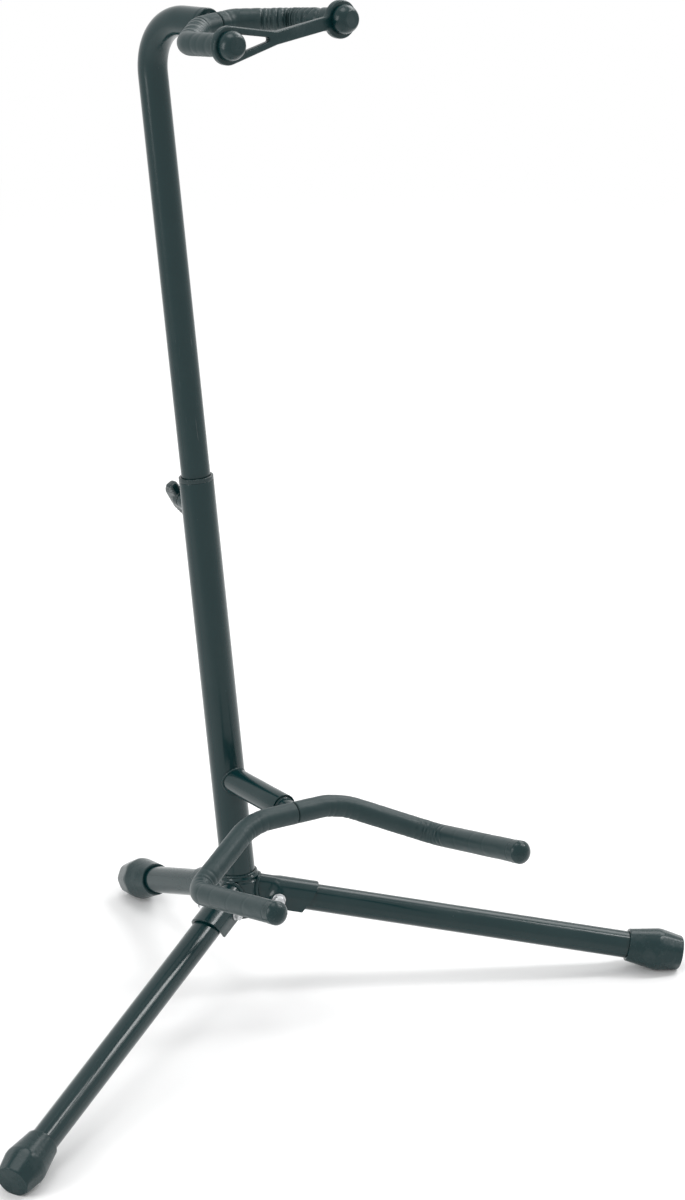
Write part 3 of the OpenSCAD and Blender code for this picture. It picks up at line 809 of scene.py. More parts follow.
def makeFoot(side):
    node = "foot_" + side
    place = onLeg(side) @ turned(90, "Y")
    low, high = boxIn(node, place)
    length = high.z - low.z
    shape = footShape
    bore, bottom, collar = shape["bore"], length - shape["floor"], shape["collar"]
    shoulder = length - shape["noseLength"]
    corners = [
        (0, bottom), (bore, bottom, shape["boreFillet"]), (bore, 0, ease["plain"]),
        (collar, 0, shape["mouthFillet"]),
        (collar + shape["collarFlare"], shape["collarLength"], shape["collarFillet"]),
        (shape["widest"], shoulder - shape["band"], shape["waistFillet"]),
        (shape["widest"], shoulder, shape["shoulderFillet"]),
        (shape["nose"], length, shape["noseFillet"]), (0, length)]
    bm = spun(corners, arcSteps=6, spacing=0.0007, steps=128)
    slope = (shape["facetWide"] - shape["facetNose"]) / shape["noseLength"]

    def flatAt(z, radius):
        if radius <= bore + shape["boreWall"] and z < length - shape["boreFloor"]:
            return None
        return shape["facetNose"] + slope * (length - z)

    facet(bm, shape["facets"], flatAt, shape["facetSoft"], math.radians(shape["facetTurn"]))
    shifted(bm, place @ moved(0, 0, low.z))
    cut = bmesh.ops.bisect_plane(bm, geom=bm.verts[:] + bm.edges[:] + bm.faces[:], dist=merge["turned"],
                                 plane_co=(0, 0, 0), plane_no=(0, 0, -1), clear_outer=True)
    rim = [item for item in cut["geom_cut"] if isinstance(item, bmesh.types.BMEdge)]
    bmesh.ops.holes_fill(bm, edges=rim, sides=0)
    addPiece(node, bm, footRubber, angle=40)


for side in legTurns:
    makeFoot(side)
print("feet: 3")


# Padded sleeves

sleeveSkin = {
    "endEase": 0.0007,
    "softness": 0.00016,
    "acrossScale": 1.6,
    "alongScale": 90,
    "seedShift": (3.7, 1.3, 2.9),
    "foldReach": 4,
    "foldPower": 1.5,
    "foldStray": (-0.18, 0.18),
    "foldDepths": (0.65, 1.2),
    "foldWidths": (0.8, 1.25),
    "foldSlants": (0.4, 1.3),
}


def skinRadius(radius, folds, length, seed):
    # the radius of a foam sleeve along its path, drawn in at its folds and at its two ends
    look = sleeveSkin
    shift = Vector([seed * offset for offset in look["seedShift"]])
    across, along, endEase = look["acrossScale"], look["alongScale"], look["endEase"]

    def at(s, out):
        found = radius
        for fold in folds:
            reach = s - fold["at"] - fold["slant"] * out.dot(fold["slantWay"])
            if abs(reach) > look["foldReach"] * fold["width"]:
                continue
            share = 1.0
            if fold["towards"]:
                spread = fold["spread"]
                share = max(0.0, (out.dot(fold["towards"]) + spread) / (1 + spread)) ** look["foldPower"]
            found -= fold["depth"] * share * math.exp(-(reach / fold["width"]) ** 2)
        spot = Vector((out.x * across, out.y * across, out.z * across + s * along))
        found += look["softness"] * noise.noise(spot + shift)
        end = min(s, length - s)
        if end < endEase:
            found -= endEase - math.sqrt(max(0.0, endEase ** 2 - (endEase - end) ** 2))
        return found

    return at


def wrinkles(draw, start, end, count, depth, width, towards=None, spread=0.6, slant=0.0008):
    # folds side by side, each a little different
    made, look = [], sleeveSkin
    pitch = (end - start) / count
    for i in range(count):
        made.append({
            "slantWay": Vector([draw.uniform(-1, 1) for _ in range(3)]).normalized(),
            "at": start + (i + 0.5 + draw.uniform(*look["foldStray"])) * pitch,
            "depth": depth * draw.uniform(*look["foldDepths"]),
            "width": width * draw.uniform(*look["foldWidths"]),
            "slant": slant * draw.uniform(*look["foldSlants"]),
            "towards": towards,
            "spread": spread})
    return made


def armPath(shape, corner, end, back):
    # half of a padded fork, from its middle to a little way back from its end
    tip = end - back * (end - corner).normalized()
    points = [Vector((shape["joint"] / 2, 0, 0)), Vector((shape["middle"], 0, 0)), corner, tip]
    return points, [0, shape["shoulderRadius"], shape["cornerRadius"], 0]


def foamSleeve(shape, side, points, bends, folds, length):
    skin = skinRadius(shape["sleeve"], folds, length, shape["skinSeeds"][side])
    bm = shell(points, bends, shape["skinStep"], skin, shape["bore"], shape["skinSides"], shape["boreStep"])
    return sided(bm, side)


# Cradle

cradle = {
    "middle": 0.036,
    "halfWidth": 0.100,
    "cornerReach": 0.0295,
    "cornerDrop": 0.0295,
    "armReach": 0.107,
    "armRise": 0.0145,
    "shoulderRadius": 0.055,
    "cornerRadius": 0.017,
    "capSkirt": 0.006,
    "capDome": 0.0065,
    "capWall": 0.0003,
    "capLip": 0.0004,
    "capCurve": 1.15,
    "capFloor": 0.0005,
    "joint": 0.0004,
    "sleeve": 0.008,
    "bore": 0.00505,
    "skinStep": 0.0006,
    "skinSides": 48,
    "boreStep": 0.004,
    "skinSeeds": {"left": 1.0, "right": 2.0},
    "foldSeeds": {"left": 7, "right": 11},
}
cradleCorner = Vector((cradle["halfWidth"], -cradle["cornerReach"], -cradle["cornerDrop"]))
cradleEnd = cradleCorner + Vector((0, -cradle["armReach"], cradle["armRise"]))


def makeCradleSleeve(side):
    points, bends = armPath(cradle, cradleCorner, cradleEnd, cradle["capSkirt"])
    (shoulder, corner), length = bendPlaces(points, bends)
    draw = random.Random(cradle["foldSeeds"][side])
    folds = wrinkles(draw, shoulder[0] + 0.004, shoulder[1] + 0.004, count=5, depth=0.00028, width=0.0011,
                     towards=shoulder[2], spread=0.35)
    folds += wrinkles(draw, corner[0] - 0.006, corner[1] + 0.005, count=7, depth=0.00055, width=0.0011,
                      towards=corner[2], spread=0.25)
    folds += wrinkles(draw, 0.02, length - 0.02, count=9, depth=0.00010, width=0.0014, slant=0.003)
    bm = foamSleeve(cradle, side, points, bends, folds, length)
    piece = addPiece("cradle_sleeve_" + side, bm, foam, onCradle, angle=50)


def makeTip(side):
    outer = cradle["sleeve"] + cradle["capWall"]
    curve = cradle["sleeve"] * cradle["capCurve"]
    skirt, floor, bore = cradle["capSkirt"], cradle["capFloor"], cradle["bore"]
    middle = cradle["capDome"] - curve
    rim = math.asin(outer / curve)
    lip = middle + curve * math.cos(rim) - cradle["capLip"]
    corners = [(0, -floor), (bore, -floor, ease["firm"]), (bore, -skirt, ease["fine"]),
               (outer, -skirt, ease["soft"]), (outer, lip)]
    points = outline(corners, spacing=0.001) + dome(curve, middle, rim, 0, steps=24)
    bm = sided(shifted(revolve(points, steps=64), facing(cradleCorner, cradleEnd)), side)
    addPiece("cradle_tips", bm, rubber, onCradle, angle=40, name="cradle_tip_" + side)


for side in ("left", "right"):
    makeCradleSleeve(side)
    makeTip(side)
print("cradle: 4 pieces")


# Yoke

yoke = {
    "middle": 0.015,
    "cornerHalfWidth": 0.0465,
    "ballHalfWidth": 0.0496,
    "cornerReach": 0.025,
    "cornerDrop": 0.0033,
    "armReach": 0.050,
    "armRise": 0.0025,
    "shoulderRadius": 0.014,
    "cornerRadius": 0.014,
    "joint": 0.0004,
    "ball": 0.010,
    "ballBack": 0.004,
    "flat": 0.0076,
    "rim": 0.0012,
    "rimProfile": ((0.4, 0.22), (0.8, 0.3), (1.2, 0.25)),  # inwards and up, in rims
    "rimFloor": 0.15,
    "sleeve": 0.008,
    "bore": 0.00505,
    "skinStep": 0.0004,
    "skinSides": 56,
    "boreStep": 0.002,
    "skinSeeds": {"left": 3.0, "right": 4.0},
    "foldSeeds": {"left": 3, "right": 5},
}
yokeCorner = Vector((yoke["cornerHalfWidth"], -yoke["cornerReach"], -yoke["cornerDrop"]))
yokeBall = Vector((yoke["ballHalfWidth"], -yoke["cornerReach"] - yoke["armReach"],
                   yoke["armRise"] - yoke["cornerDrop"]))


def makeYokeSleeve(side):
    points, bends = armPath(yoke, yokeCorner, yokeBall, yoke["ballBack"])
    (shoulder, corner), length = bendPlaces(points, bends)
    draw = random.Random(yoke["foldSeeds"][side])
    up = Vector((0, 0, 1))
    if side == "right":  # foam pressed into ribs along the inner side of the bend
        folds = wrinkles(draw, corner[0] - 0.017, corner[1] + 0.011, count=11, depth=0.00165, width=0.00085,
                         towards=corner[2], spread=0.75, slant=0.0005)
        folds += wrinkles(draw, corner[1] + 0.012, length - 0.006, count=4, depth=0.00075, width=0.0013,
                          slant=0.0035)
        folds += wrinkles(draw, 0.004, corner[0] - 0.018, count=3, depth=0.00018, width=0.0012,
                          slant=0.0010)
    else:
        folds = wrinkles(draw, shoulder[0] + 0.004, corner[0] + 0.003, count=7, depth=0.00080, width=0.0009,
                         towards=up, spread=0.25, slant=0.0012)
        folds += wrinkles(draw, corner[0] + 0.002, corner[1] + 0.003, count=4, depth=0.00045, width=0.0010,
                          towards=corner[2], spread=0.2)
        folds += wrinkles(draw, corner[1] + 0.004, length - 0.010, count=3, depth=0.00014, width=0.0016,
                          slant=0.0020)
    bm = foamSleeve(yoke, side, points, bends, folds, length)
    piece = addPiece("yoke_sleeve_" + side, bm, foam, onYoke, angle=50)


def makeBall(side):
    ball, flat, rim, back, bore = [yoke[key] for key in ("ball", "flat", "rim", "ballBack", "bore")]
    mouth = yoke["sleeve"] + gap["seated"]
    start, end = math.acos(-math.sqrt(ball ** 2 - mouth ** 2) / ball), math.acos(flat / ball)
    points = [Vector(corner) for corner in ((0, back), (bore, back), (bore, -back), (mouth, -back))]
    points += dome(ball, 0, start, end, steps=40)
    rimRadius = ball * math.sin(end)
    face = [(rimRadius - inwards * rim, flat + up * rim) for inwards, up in yoke["rimProfile"]]
    points += outline(face + [(0, flat + yoke["rimFloor"] * rim)], spacing=0.001)
    bm = sided(shifted(revolve(points, steps=72), facing(yokeCorner, yokeBall)), side)
    addPiece("yoke_balls", bm, rubber, onYoke, angle=50, name="yoke_ball_" + side)


for side in ("left", "right"):
    makeYokeSleeve(side)
    makeBall(side)

strap = {
    "thickness": 0.005,
    "behind": 0.0040,
    "hole": 0.0079,
    "band": 0.0051,
    "sag": 0.0024,
    "loop": 0.041,
    "width": 0.009,
    "neckEase": 0.0015,
    "neckLength": 0.002,
    "slotPoint": 0.0015,
    "slotWeb": 0.008,
    "round": 0.0011,
}


def makeStrap():
    # a ring on the right arm, a plain band and a teardrop loop over the left arm
    at = yokeBall.lerp(yokeCorner, strap["behind"] / yoke["armReach"])
    hole, loop, point = strap["hole"], strap["loop"], strap["width"] / 2
    band, span = hole + strap["band"], 2 * at.x
    tilt = math.degrees(math.acos((band - point) / loop))
    enter = math.degrees(math.asin((point + strap["neckEase"]) / band))
    bandEnd = span - band * math.cos(math.radians(enter)) - strap["neckLength"]
    lower = [(loop, -point), (bandEnd, -point)]
    upper = [(x, -y) for x, y in reversed(lower)]
    outside = (arc(0, 0, band, tilt, 360 - tilt, steps=44) + lower
               + arc(span, 0, band, 180 + enter, 540 - enter, steps=52) + upper)
    slotTip, slotReach = strap["slotPoint"], loop - strap["slotWeb"]
    slotTilt = math.degrees(math.acos((hole - slotTip) / slotReach))
    slot = (arc(0, 0, hole, slotTilt, 360 - slotTilt, steps=40)
            + arc(slotReach, 0, slotTip, -slotTilt, slotTilt, steps=12))
    ring = arc(span, 0, hole, 0, 354, steps=59)
    bm = plate([outside, slot, ring], strap["thickness"], strap["round"])
    for vert in bm.verts:
        share = max(0.0, min(1.0, vert.co.x / span))
        vert.co.y -= strap["sag"] * math.sin(math.pi * share) ** 2
    place = onYoke @ moved(-at.x, at.y, at.z) @ turned(90, "X")
    addPiece("neck_strap", bm, rubber, place)


makeStrap()
print("yoke: 5 pieces")


# Column, mast and plugs

tubes = {
    "column": 0.0125,
    "wall": 0.0012,
    "below": 0.020,
    "above": 0.311,
    "mast": 0.0105,
    "neckRadius": 0.040,
    "mastFoot": 0.215,
    "mastStep": 0.0016,
    "blockTail": 0.0115,
    "clampHole": 0.0043,
    "holeDepth": (0.002, 0.03),
    "bendFlat": 0.00022,
    "bendOverlap": 0.004,
    "bendFade": 0.012,
}
bushing = {"length": 0.030, "lip": 0.0032, "roll": 0.0004, "mouth": 0.0006, "mouthDrop": 0.0003}
columnPlug = {"step": 0.002, "dish": 0.0014, "dishRadius": 0.0060, "dishRound": 0.001, "dishRim": 0.0068,
              "inset": 0.001, "round": 0.0009, "depth": 0.008, "wall": 0.0016}
mastPlug = {"flange": 0.004, "depth": 0.014, "grooveLow": 0.0026, "grooveHigh": 0.0016, "groove": 0.0007,
            "lead": 0.001}


def clampHole():
    return rod(tubes["clampHole"], *tubes["holeDepth"], clampSpot)


def makeColumn():
    outer = tubes["column"]
    bm = spunTube(outer - tubes["wall"], outer, -tubes["below"], tubes["above"], ease["plain"])
    addPiece("lower_column", drill(bm, clampHole()), paint, onColumn)


def makeMast():
    points = [Vector((0, 0, tubes["mastFoot"])), Vector((0, 0, stance["neckHeight"])),
              Vector((0, tubes["blockTail"] - stance["neckReach"], stance["neckHeight"]))]
    bends = [0, tubes["neckRadius"], 0]
    ((bendStart, bendEnd, inner),), length = bendPlaces(points, bends)
    overlap, fade = tubes["bendOverlap"], tubes["bendFade"]

    def skin(s, out):
        # the bend flattens the tube a little and its ends are eased
        bent = max(0.0, min(1.0, (s - bendStart + overlap) / fade, (bendEnd + overlap - s) / fade))
        flat = tubes["bendFlat"] * bent * abs(out.dot(inner)) ** 2
        return tubes["mast"] - flat - max(0.0, ease["plain"] - min(s, length - s))

    bm = shell(points, bends, tubes["mastStep"], skin, tubes["mast"] - tubes["wall"], segments=96)
    addPiece("mast", bm, mastPaint, onMast)


def makeBushing():
    column, bore = tubes["column"], tubes["mast"] + gap["seated"]
    seat, rim = column - tubes["wall"] - gap["seated"], tubes["above"]
    foot, top, roll = rim - bushing["length"], rim + bushing["lip"], bushing["roll"]
    corners = [(bore, top - bushing["mouthDrop"], ease["crisp"]), (bore, foot, ease["crisp"]),
               (seat, foot, ease["plain"]), (seat, rim), (column, rim, ease["crisp"]),
               (column, top - roll, ease["fine"]), (column - roll, top, ease["fine"]),
               (bore + bushing["mouth"], top, ease["fine"])]
    bm = spun(corners, closed=True)
    addPiece("column_bushing", drill(bm, clampHole()), plastic, onColumn)


def makeColumnPlug():
    plug, column, low = columnPlug, tubes["column"], -tubes["below"]
    inside = column - tubes["wall"] - gap["seated"]
    bottom, dish, top = low - plug["step"], low - plug["dish"], low + plug["depth"]
    hollow = inside - plug["wall"]
    corners = [(0, dish), (plug["dishRadius"], dish, plug["dishRound"]),
               (plug["dishRim"], bottom, ease["soft"]),
               (column - plug["inset"], bottom, plug["round"]), (column, low, ease["fine"]), (inside, low),
               (inside, top, ease["full"]), (hollow, top, ease["fine"]), (hollow, low, ease["plain"]),
               (0, low)]
    bm = spun(corners)
    addPiece("column_plug", bm, plastic, onColumn)


def makeMastPlug():
    plug, foot = mastPlug, tubes["mastFoot"]
    bore = tubes["mast"] - tubes["wall"] - gap["moving"]
    wide = tubes["column"] - tubes["wall"] - gap["seated"]
    narrow, bottom, top = wide - plug["groove"], foot - plug["flange"], foot + plug["depth"]
    low, high = foot - plug["grooveLow"], foot - plug["grooveHigh"]
    corners = [(0, bottom), (wide, bottom, ease["soft"]), (wide, low, ease["crisp"]),
               (narrow, low, ease["crisp"]), (narrow, high, ease["crisp"]), (wide, high, ease["crisp"]),
               (wide, foot, ease["fine"]), (bore, foot), (bore, top, plug["lead"]), (0, top)]
    bm = spun(corners, arcSteps=4)
    addPiece("mast_plug", bm, plastic, onColumn)


makeColumn()
makeMast()
makeBushing()
makeColumnPlug()
makeMastPlug()
print("column: 5 pieces")


# Legs and their bolts

legTube = {"outer": 0.010, "inner": 0.0088, "ballInset": 0.0001, "neck": 0.0004}
bolts = {
    "shank": 0.0025,
    "flats": 0.004,
    "head": 0.0035,
    "headRound": 0.0006,
    "dimple": (0.0020, 0.0026),
    "dimpleDepth": 0.0005,
    "tail": 0.002,
    "tailChamfer": 0.0006,
    "headInset": 0.0001,
    "headFoot": 0.0003,
    "washer": 0.005,
    "washerThick": 0.001,
    "seat": 0.0121,
    "pitch": 0.0008,
    "threadDepth": 0.0003,
    "threadEnds": (0.0002, 0.001),
    "hexFrom": 1.2,  # in shank radii
    "hexMargin": 0.0001,
}
nuts = {"chamfer": 0.0012, "foot": 0.0004, "corner": 0.0002, "crown": 0.0005, "mouth": 0.0007,
        "mouthDrop": 0.0005}
headSides = {"left": 1, "right": -1, "rear": 1}
grip = bolts["seat"] + bolts["washerThick"]
hexCorner = bolts["flats"] / math.cos(math.pi / 6)


def pivotHole(play):
    place = moved(stance["pivotReach"], 0, 0) @ turned(90, "X")
    return rod(bolts["shank"] + play, -drillReach["pivot"], drillReach["pivot"], place)


def makeLeg(side):
    # a tube whose inner end is part of a ball, so that it can swing in its bracket
    node = "leg_" + side
    _, high = boxIn(node, onLeg(side))
    outer, inner, pivot = legTube["outer"], legTube["inner"], stance["pivotReach"]
    ball = outer - legTube["ballInset"]
    profile = dome(ball, pivot, math.pi - math.asin(inner / ball), math.pi / 2, steps=8)
    profile += outline([(outer, pivot + legTube["neck"]), (outer, high.x, ease["plain"]), (inner, high.x)],
                       arcSteps=4, spacing=0.02)
    profile.append(profile[0].copy())
    bm = drill(shifted(revolve(profile), turned(90, "Y")), pivotHole(gap["moving"]))
    addPiece(node, bm, paint, onLeg(side))


def onPivot(side, way):  # way is 1 for the bolt's head and -1 for its nut
    return onLeg(side) @ moved(stance["pivotReach"], 0, 0) @ turned(-90 * headSides[side] * way, "X")


def hexFlats(bm, low, high):
    # six flats round the part of a turned blank between two heights
    def flatAt(z, radius):
        hexed = low <= z <= high and radius > bolts["shank"] * bolts["hexFrom"]
        return bolts["flats"] if hexed else None

    facet(bm, 6, flatAt)
    return bm


def makeBolt():
    shank, flats, top = bolts["shank"], bolts["flats"], grip + bolts["head"]
    end = -grip - bolts["head"] - bolts["tail"]
    dimple = top - bolts["dimpleDepth"]
    inner, outer = bolts["dimple"]
    foot, margin = bolts["headFoot"], bolts["hexMargin"]
    corners = [(0, dimple), (inner, dimple, ease["firm"]), (outer, top, ease["fine"]),
               (flats - bolts["headInset"], top, ease["plain"]),
               (hexCorner, top - bolts["headRound"], ease["crisp"]),
               (hexCorner, grip + foot, ease["crisp"]), (hexCorner - foot, grip)]
    head = outline(corners, arcSteps=3, spacing=0.0005)
    corners = [(shank, grip, ease["crisp"]), (shank, end + bolts["tailChamfer"], ease["crisp"]),
               (shank - bolts["tailChamfer"], end), (0, end)]
    bm = revolve(head + outline(corners, arcSteps=3, spacing=0.00012), steps=72)
    first, last = bolts["threadEnds"]
    threaded(bm, end + first, last - bolts["seat"], shank, bolts["pitch"], bolts["threadDepth"])
    return hexFlats(bm, grip - margin, top + margin)


def makeNut():
    top, flats, bore = grip + bolts["head"], bolts["flats"], bolts["shank"] + gap["seated"]
    chamfer, foot, corner = top - nuts["chamfer"], nuts["foot"], nuts["corner"]
    corners = [(bore, grip, ease["fine"]), (hexCorner - foot, grip),
               (hexCorner, grip + foot, ease["crisp"]), (hexCorner, chamfer - corner, ease["fine"]),
               (flats - corner, chamfer, ease["firm"]),
               (flats - nuts["crown"], top, ease["soft"]), (bore + nuts["mouth"], top, ease["fine"]),
               (bore, top - nuts["mouthDrop"], ease["crisp"])]
    bm = spun(corners, closed=True, arcSteps=4, spacing=0.0005, steps=72)
    return hexFlats(bm, grip - bolts["hexMargin"], chamfer + bolts["hexMargin"])


def makeWasher():
    bore = bolts["shank"] + gap["seated"]
    return spunTube(bore, bolts["washer"], bolts["seat"], grip, ease["fine"], innerRim=0.0001, steps=72)


for side in legTurns:
    makeLeg(side)
    headSide, nutSide = onPivot(side, 1), onPivot(side, -1)
    addPiece("leg_bolts", makeBolt(), steel, headSide, name="bolt_" + side)
    addPiece("leg_nuts", makeNut(), steel, nutSide, name="nut_" + side)
    addPiece("leg_washers", makeWasher(), steel, headSide, name="washer_head_" + side)
    addPiece("leg_washers", makeWasher(), steel, nutSide, name="washer_nut_" + side)
print("legs: 15 pieces")


# Hub

hub = {
    "collar": 0.015,
    "top": 0.012,
    "bottom": 0.018,
    "groove": (-0.0160, -0.0153, -0.0140, -0.0133),
    "grooveDepth": 0.0007,
    "neck": (0.0062, 0.0052, 0.0040, 0.0030),  # below the top
    "neckDepth": 0.0008,
    "crown": 0.0003,
    "crownInset": 0.0010,
    "crownRound": 0.0012,
    "mouth": (0.0006, 0.0003),
    "wall": 0.0018,
    "full": 0.0121,
    "root": 0.0092,
    "rootProbe": 0.014,
    "sink": 0.0004,
    "skirt": 0.008,
    "reach": 0.057,
    "slant": 0.009,
    "shoulderStart": 0.0135,
    "shoulderSlant": 0.45,
    "shoulderLength": 0.0075,
    "pad": 0.0052,
    "padSlope": 0.0022,
    "padRise": 0.0016,
    "padSide": 0.004,
    "grid": (96, 44),
    "edgeAngle": 55,
    "edgeBevel": 0.0003,
}
welds = {"bracket": 0.0017, "collar": 0.0010, "collarRadius": 0.0131, "collarSteps": 150, "boss": 0.0008,
         "stub": 0.0011, "lift": 0.0002}
boss = {"radius": 0.007, "bore": 0.00408, "height": 0.007, "foot": 0.002}


def bracketPoint(across, x):
    # a point of the pressed channel's outer skin; across runs from -1 at one lower edge to 1 at the other
    radius, skirt = hub["full"], hub["skirt"]
    half = math.pi / 2 * radius
    s = across * (half + skirt)
    if abs(s) <= half:
        y, z = radius * math.sin(s / radius), radius * math.cos(s / radius)
    else:
        y, z = math.copysign(radius, s), -(abs(s) - half)
    # the cheeks swell from the narrow root along a slanting shoulder
    start = hub["shoulderStart"] + hub["shoulderSlant"] * (z + skirt)
    share = smoothStep(x, start, start + hub["shoulderLength"])
    y *= (hub["root"] + (radius - hub["root"]) * share) / radius
    # a round pad under the bolt's head and nut
    beside = math.hypot(x - stance["pivotReach"], z) - hub["pad"]
    if beside < hub["padSlope"] and abs(y) > hub["padSide"]:
        lift = min(radius - abs(y), hub["padRise"]) * (1 - smoothStep(beside, 0.0, hub["padSlope"]))
        y += math.copysign(lift, y)
    return Vector((x, y, z))


def makeBracket(side):
    place = onLeg(side)
    back = place.inverted()
    axisPoint, axisWay = back @ hubPoint, back.to_3x3() @ columnWay
    bm = bmesh.new()
    bmesh.ops.create_grid(bm, x_segments=hub["grid"][0], y_segments=hub["grid"][1], size=1.0)
    roots = {}
    for vert in bm.verts:
        along, across = (vert.co.x + 1) / 2, vert.co.y
        start = bracketPoint(across, hub["rootProbe"])
        first = reachCylinder(Vector((0, start.y, start.z)), Vector((1, 0, 0)), axisPoint, axisWay,
                              hub["collar"] - hub["sink"])
        last = hub["reach"] - hub["slant"] * (hub["full"] - start.z) / (hub["full"] + hub["skirt"])
        vert.co = bracketPoint(across, first + (last - first) * along)
        if along < 1e-6:
            roots[round(across, 5)] = place @ (vert.co + Vector((hub["sink"], 0, 0)))
    outward(bm)
    top = max(bm.faces, key=lambda face: face.calc_center_median().z)
    if top.normal.z < 0:
        bmesh.ops.reverse_faces(bm, faces=bm.faces[:])
    bmesh.ops.solidify(bm, geom=bm.faces[:], thickness=hub["wall"])
    outward(bm)
    sharp = [edge for edge in bm.edges
             if len(edge.link_faces) == 2 and edge.calc_face_angle() > math.radians(hub["edgeAngle"])]
    bmesh.ops.bevel(bm, geom=sharp, offset=hub["edgeBevel"], offset_type="OFFSET", affect="EDGES",
                    segments=2, profile=0.5, clamp_overlap=True, material=-1)
    bm = shifted(drill(bm, pivotHole(gap["seated"])), place)
    joinInto(bm, bead([roots[key] for key in sorted(roots)], welds["bracket"], 5.0 + legTurns[side]))
    addPiece("bracket_" + side, bm, paint, angle=35)


def makeCollar():
    bore, wide, top = tubes["column"] + gap["seated"], hub["collar"], hub["top"]
    low, floor, roof, high = hub["groove"]
    neckLow, neckFloor, neckRoof, neckHigh = [top - drop for drop in hub["neck"]]
    sunk, waist, fillet = wide - hub["grooveDepth"], wide - hub["neckDepth"], ease["plain"]
    mouth, mouthDrop = hub["mouth"]
    corners = [(bore, -hub["bottom"], ease["crisp"]), (wide, -hub["bottom"], ease["full"]),
               (wide, low, fillet), (sunk, floor, fillet), (sunk, roof, fillet), (wide, high, fillet),
               (wide, neckLow, ease["firm"]), (waist, neckFloor, fillet), (waist, neckRoof, fillet),
               (wide + hub["crown"], neckHigh, ease["soft"]),
               (wide - hub["crownInset"], top - hub["crownRound"], hub["crownRound"]),
               (bore + mouth, top, ease["fine"]), (bore, top - mouthDrop)]
    bm = shifted(spun(corners, closed=True, arcSteps=8, spacing=0.002), onColumn)
    seat = onColumn @ moved(0, 0, top - hub["sink"])
    radius, count = welds["collarRadius"], welds["collarSteps"]
    angles = [2 * math.pi * i / count for i in range(count)]
    line = [seat @ Vector((radius * math.cos(angle), radius * math.sin(angle), 0)) for angle in angles]
    joinInto(bm, bead(line, welds["collar"], 2.0, closed=True))
    addPiece("hub_collar", bm, paint, angle=35)


def makeBoss():
    radius, bore, foot, top = boss["radius"], boss["bore"], boss["foot"], tubes["column"] + boss["height"]
    corners = [(bore, top, ease["fine"]), (radius, top, ease["full"]), (radius, foot), (bore, foot)]
    bm = spun(corners, closed=True, spacing=0.002, steps=80)
    reach = drillReach["boss"]
    saddle = rod(tubes["column"] + gap["seated"], -reach, reach, turned(90, "X"), steps=128)
    bm = shifted(drill(bm, saddle), onClamp)
    line = ringOn(onClamp, radius, tubes["column"] + welds["lift"])
    joinInto(bm, bead(line, welds["boss"], 9.0, closed=True))
    addPiece("clamp_boss", bm, paint, angle=35)


for side in legTurns:
    makeBracket(side)
makeCollar()
makeBoss()
print("hub: 5 pieces")


# Clamp screw

clamp = {
    "radius": 0.004,
    "chamfer": 0.0009,
    "start": 0.0215,
    "head": 0.012,
    "roof": 0.002,
    "hubWall": 0.0022,
    "hubRound": 0.0015,
    "hubFillets": (0.0012, 0.003, 0.0007),
    "waist": 0.45,
    "span": 0.029,
    "thickness": 0.0072,
    "leafRoot": (0.0066, 0.0009, 0.002),
    "leafFoot": 0.0014,
    "leafFillets": (0.003, 0.005, 0.006),
    "leafShare": 0.55,
    "leafRound": 0.0020,
    "tip": 0.006,
    "voxel": 0.00028,
    "meltRounds": 14,
    "ribPitch": 0.0017,
    "ribDepth": 0.09,
    "ribFade": (0.0006, 0.0020),
    "ribEdge": 0.0012,
    "turn": 65.0,
    "pitch": 0.00125,
    "threadDepth": 0.00055,
    "threadEnds": (0.0006, 0.0004),
}


def makeScrew():
    radius, chamfer, low = clamp["radius"], clamp["chamfer"], tubes["mast"] + gap["moving"]
    high = clamp["start"] + clamp["head"] - clamp["roof"] - gap["seated"]
    corners = [(0, low), (radius - chamfer, low), (radius, low + chamfer), (radius, high, ease["plain"]),
               (0, high)]
    bm = spun(corners, arcSteps=3, spacing=0.00016, steps=72)
    first, last = clamp["threadEnds"]
    threaded(bm, low + first, high - last, radius, clamp["pitch"], clamp["threadDepth"])
    addPiece("clamp_screw", bm, steel, onClamp, angle=40)


def wingPlate():
    # a flat paddle through the screw's axis, rounded at both ends
    leaf, tip, share = clamp["span"] / 2, clamp["head"] - clamp["roof"] + clamp["tip"], clamp["leafShare"]
    foot, side, top = clamp["leafFillets"]
    right = [clamp["leafRoot"], (leaf, clamp["leafFoot"], foot), (leaf, tip * share, side),
             (leaf * share, tip, top)]
    corners = right + [(-x, y, fillet) for x, y, fillet in reversed(right)]
    points = outline(corners, closed=True, arcSteps=10, spacing=0.002)[:-1]
    return shifted(plate([points], clamp["thickness"], clamp["leafRound"]), turned(90, "X"))


def makeWing():
    head, outer = clamp["head"], clamp["radius"] + clamp["hubWall"]
    top, middle, foot = clamp["hubFillets"]
    corners = [(0, head), (outer - clamp["hubRound"], head, top), (outer, head * clamp["waist"], middle),
               (outer, 0.0, foot), (0, 0)]
    bm = spun(corners, arcSteps=6, spacing=0.001, steps=64)
    joinInto(bm, wingPlate())
    bm = blendSolids(bm, clamp["voxel"], clamp["meltRounds"])
    ribStart, ribFull = [outer + fade for fade in clamp["ribFade"]]
    for vert in bm.verts:  # grip ribs across both leaves
        reach = abs(vert.co.x)
        if ribStart < reach < clamp["span"] / 2 - clamp["ribEdge"]:
            depth = clamp["ribDepth"] * smoothStep(reach, ribStart, ribFull)
            vert.co.y *= 1 - depth * (0.5 + 0.5 * math.cos(2 * math.pi * reach / clamp["ribPitch"]))
    shifted(bm, turned(clamp["turn"], "Z"))
    bm = drill(bm, rod(clamp["radius"] + gap["seated"], -0.002, head - clamp["roof"]))
    addPiece("clamp_wing", bm, plastic, onClamp @ moved(0, 0, clamp["start"]), angle=40)


makeScrew()
makeWing()
print("clamp: 2 pieces")


# Stub, stem, yoke block and the rods inside the sleeves

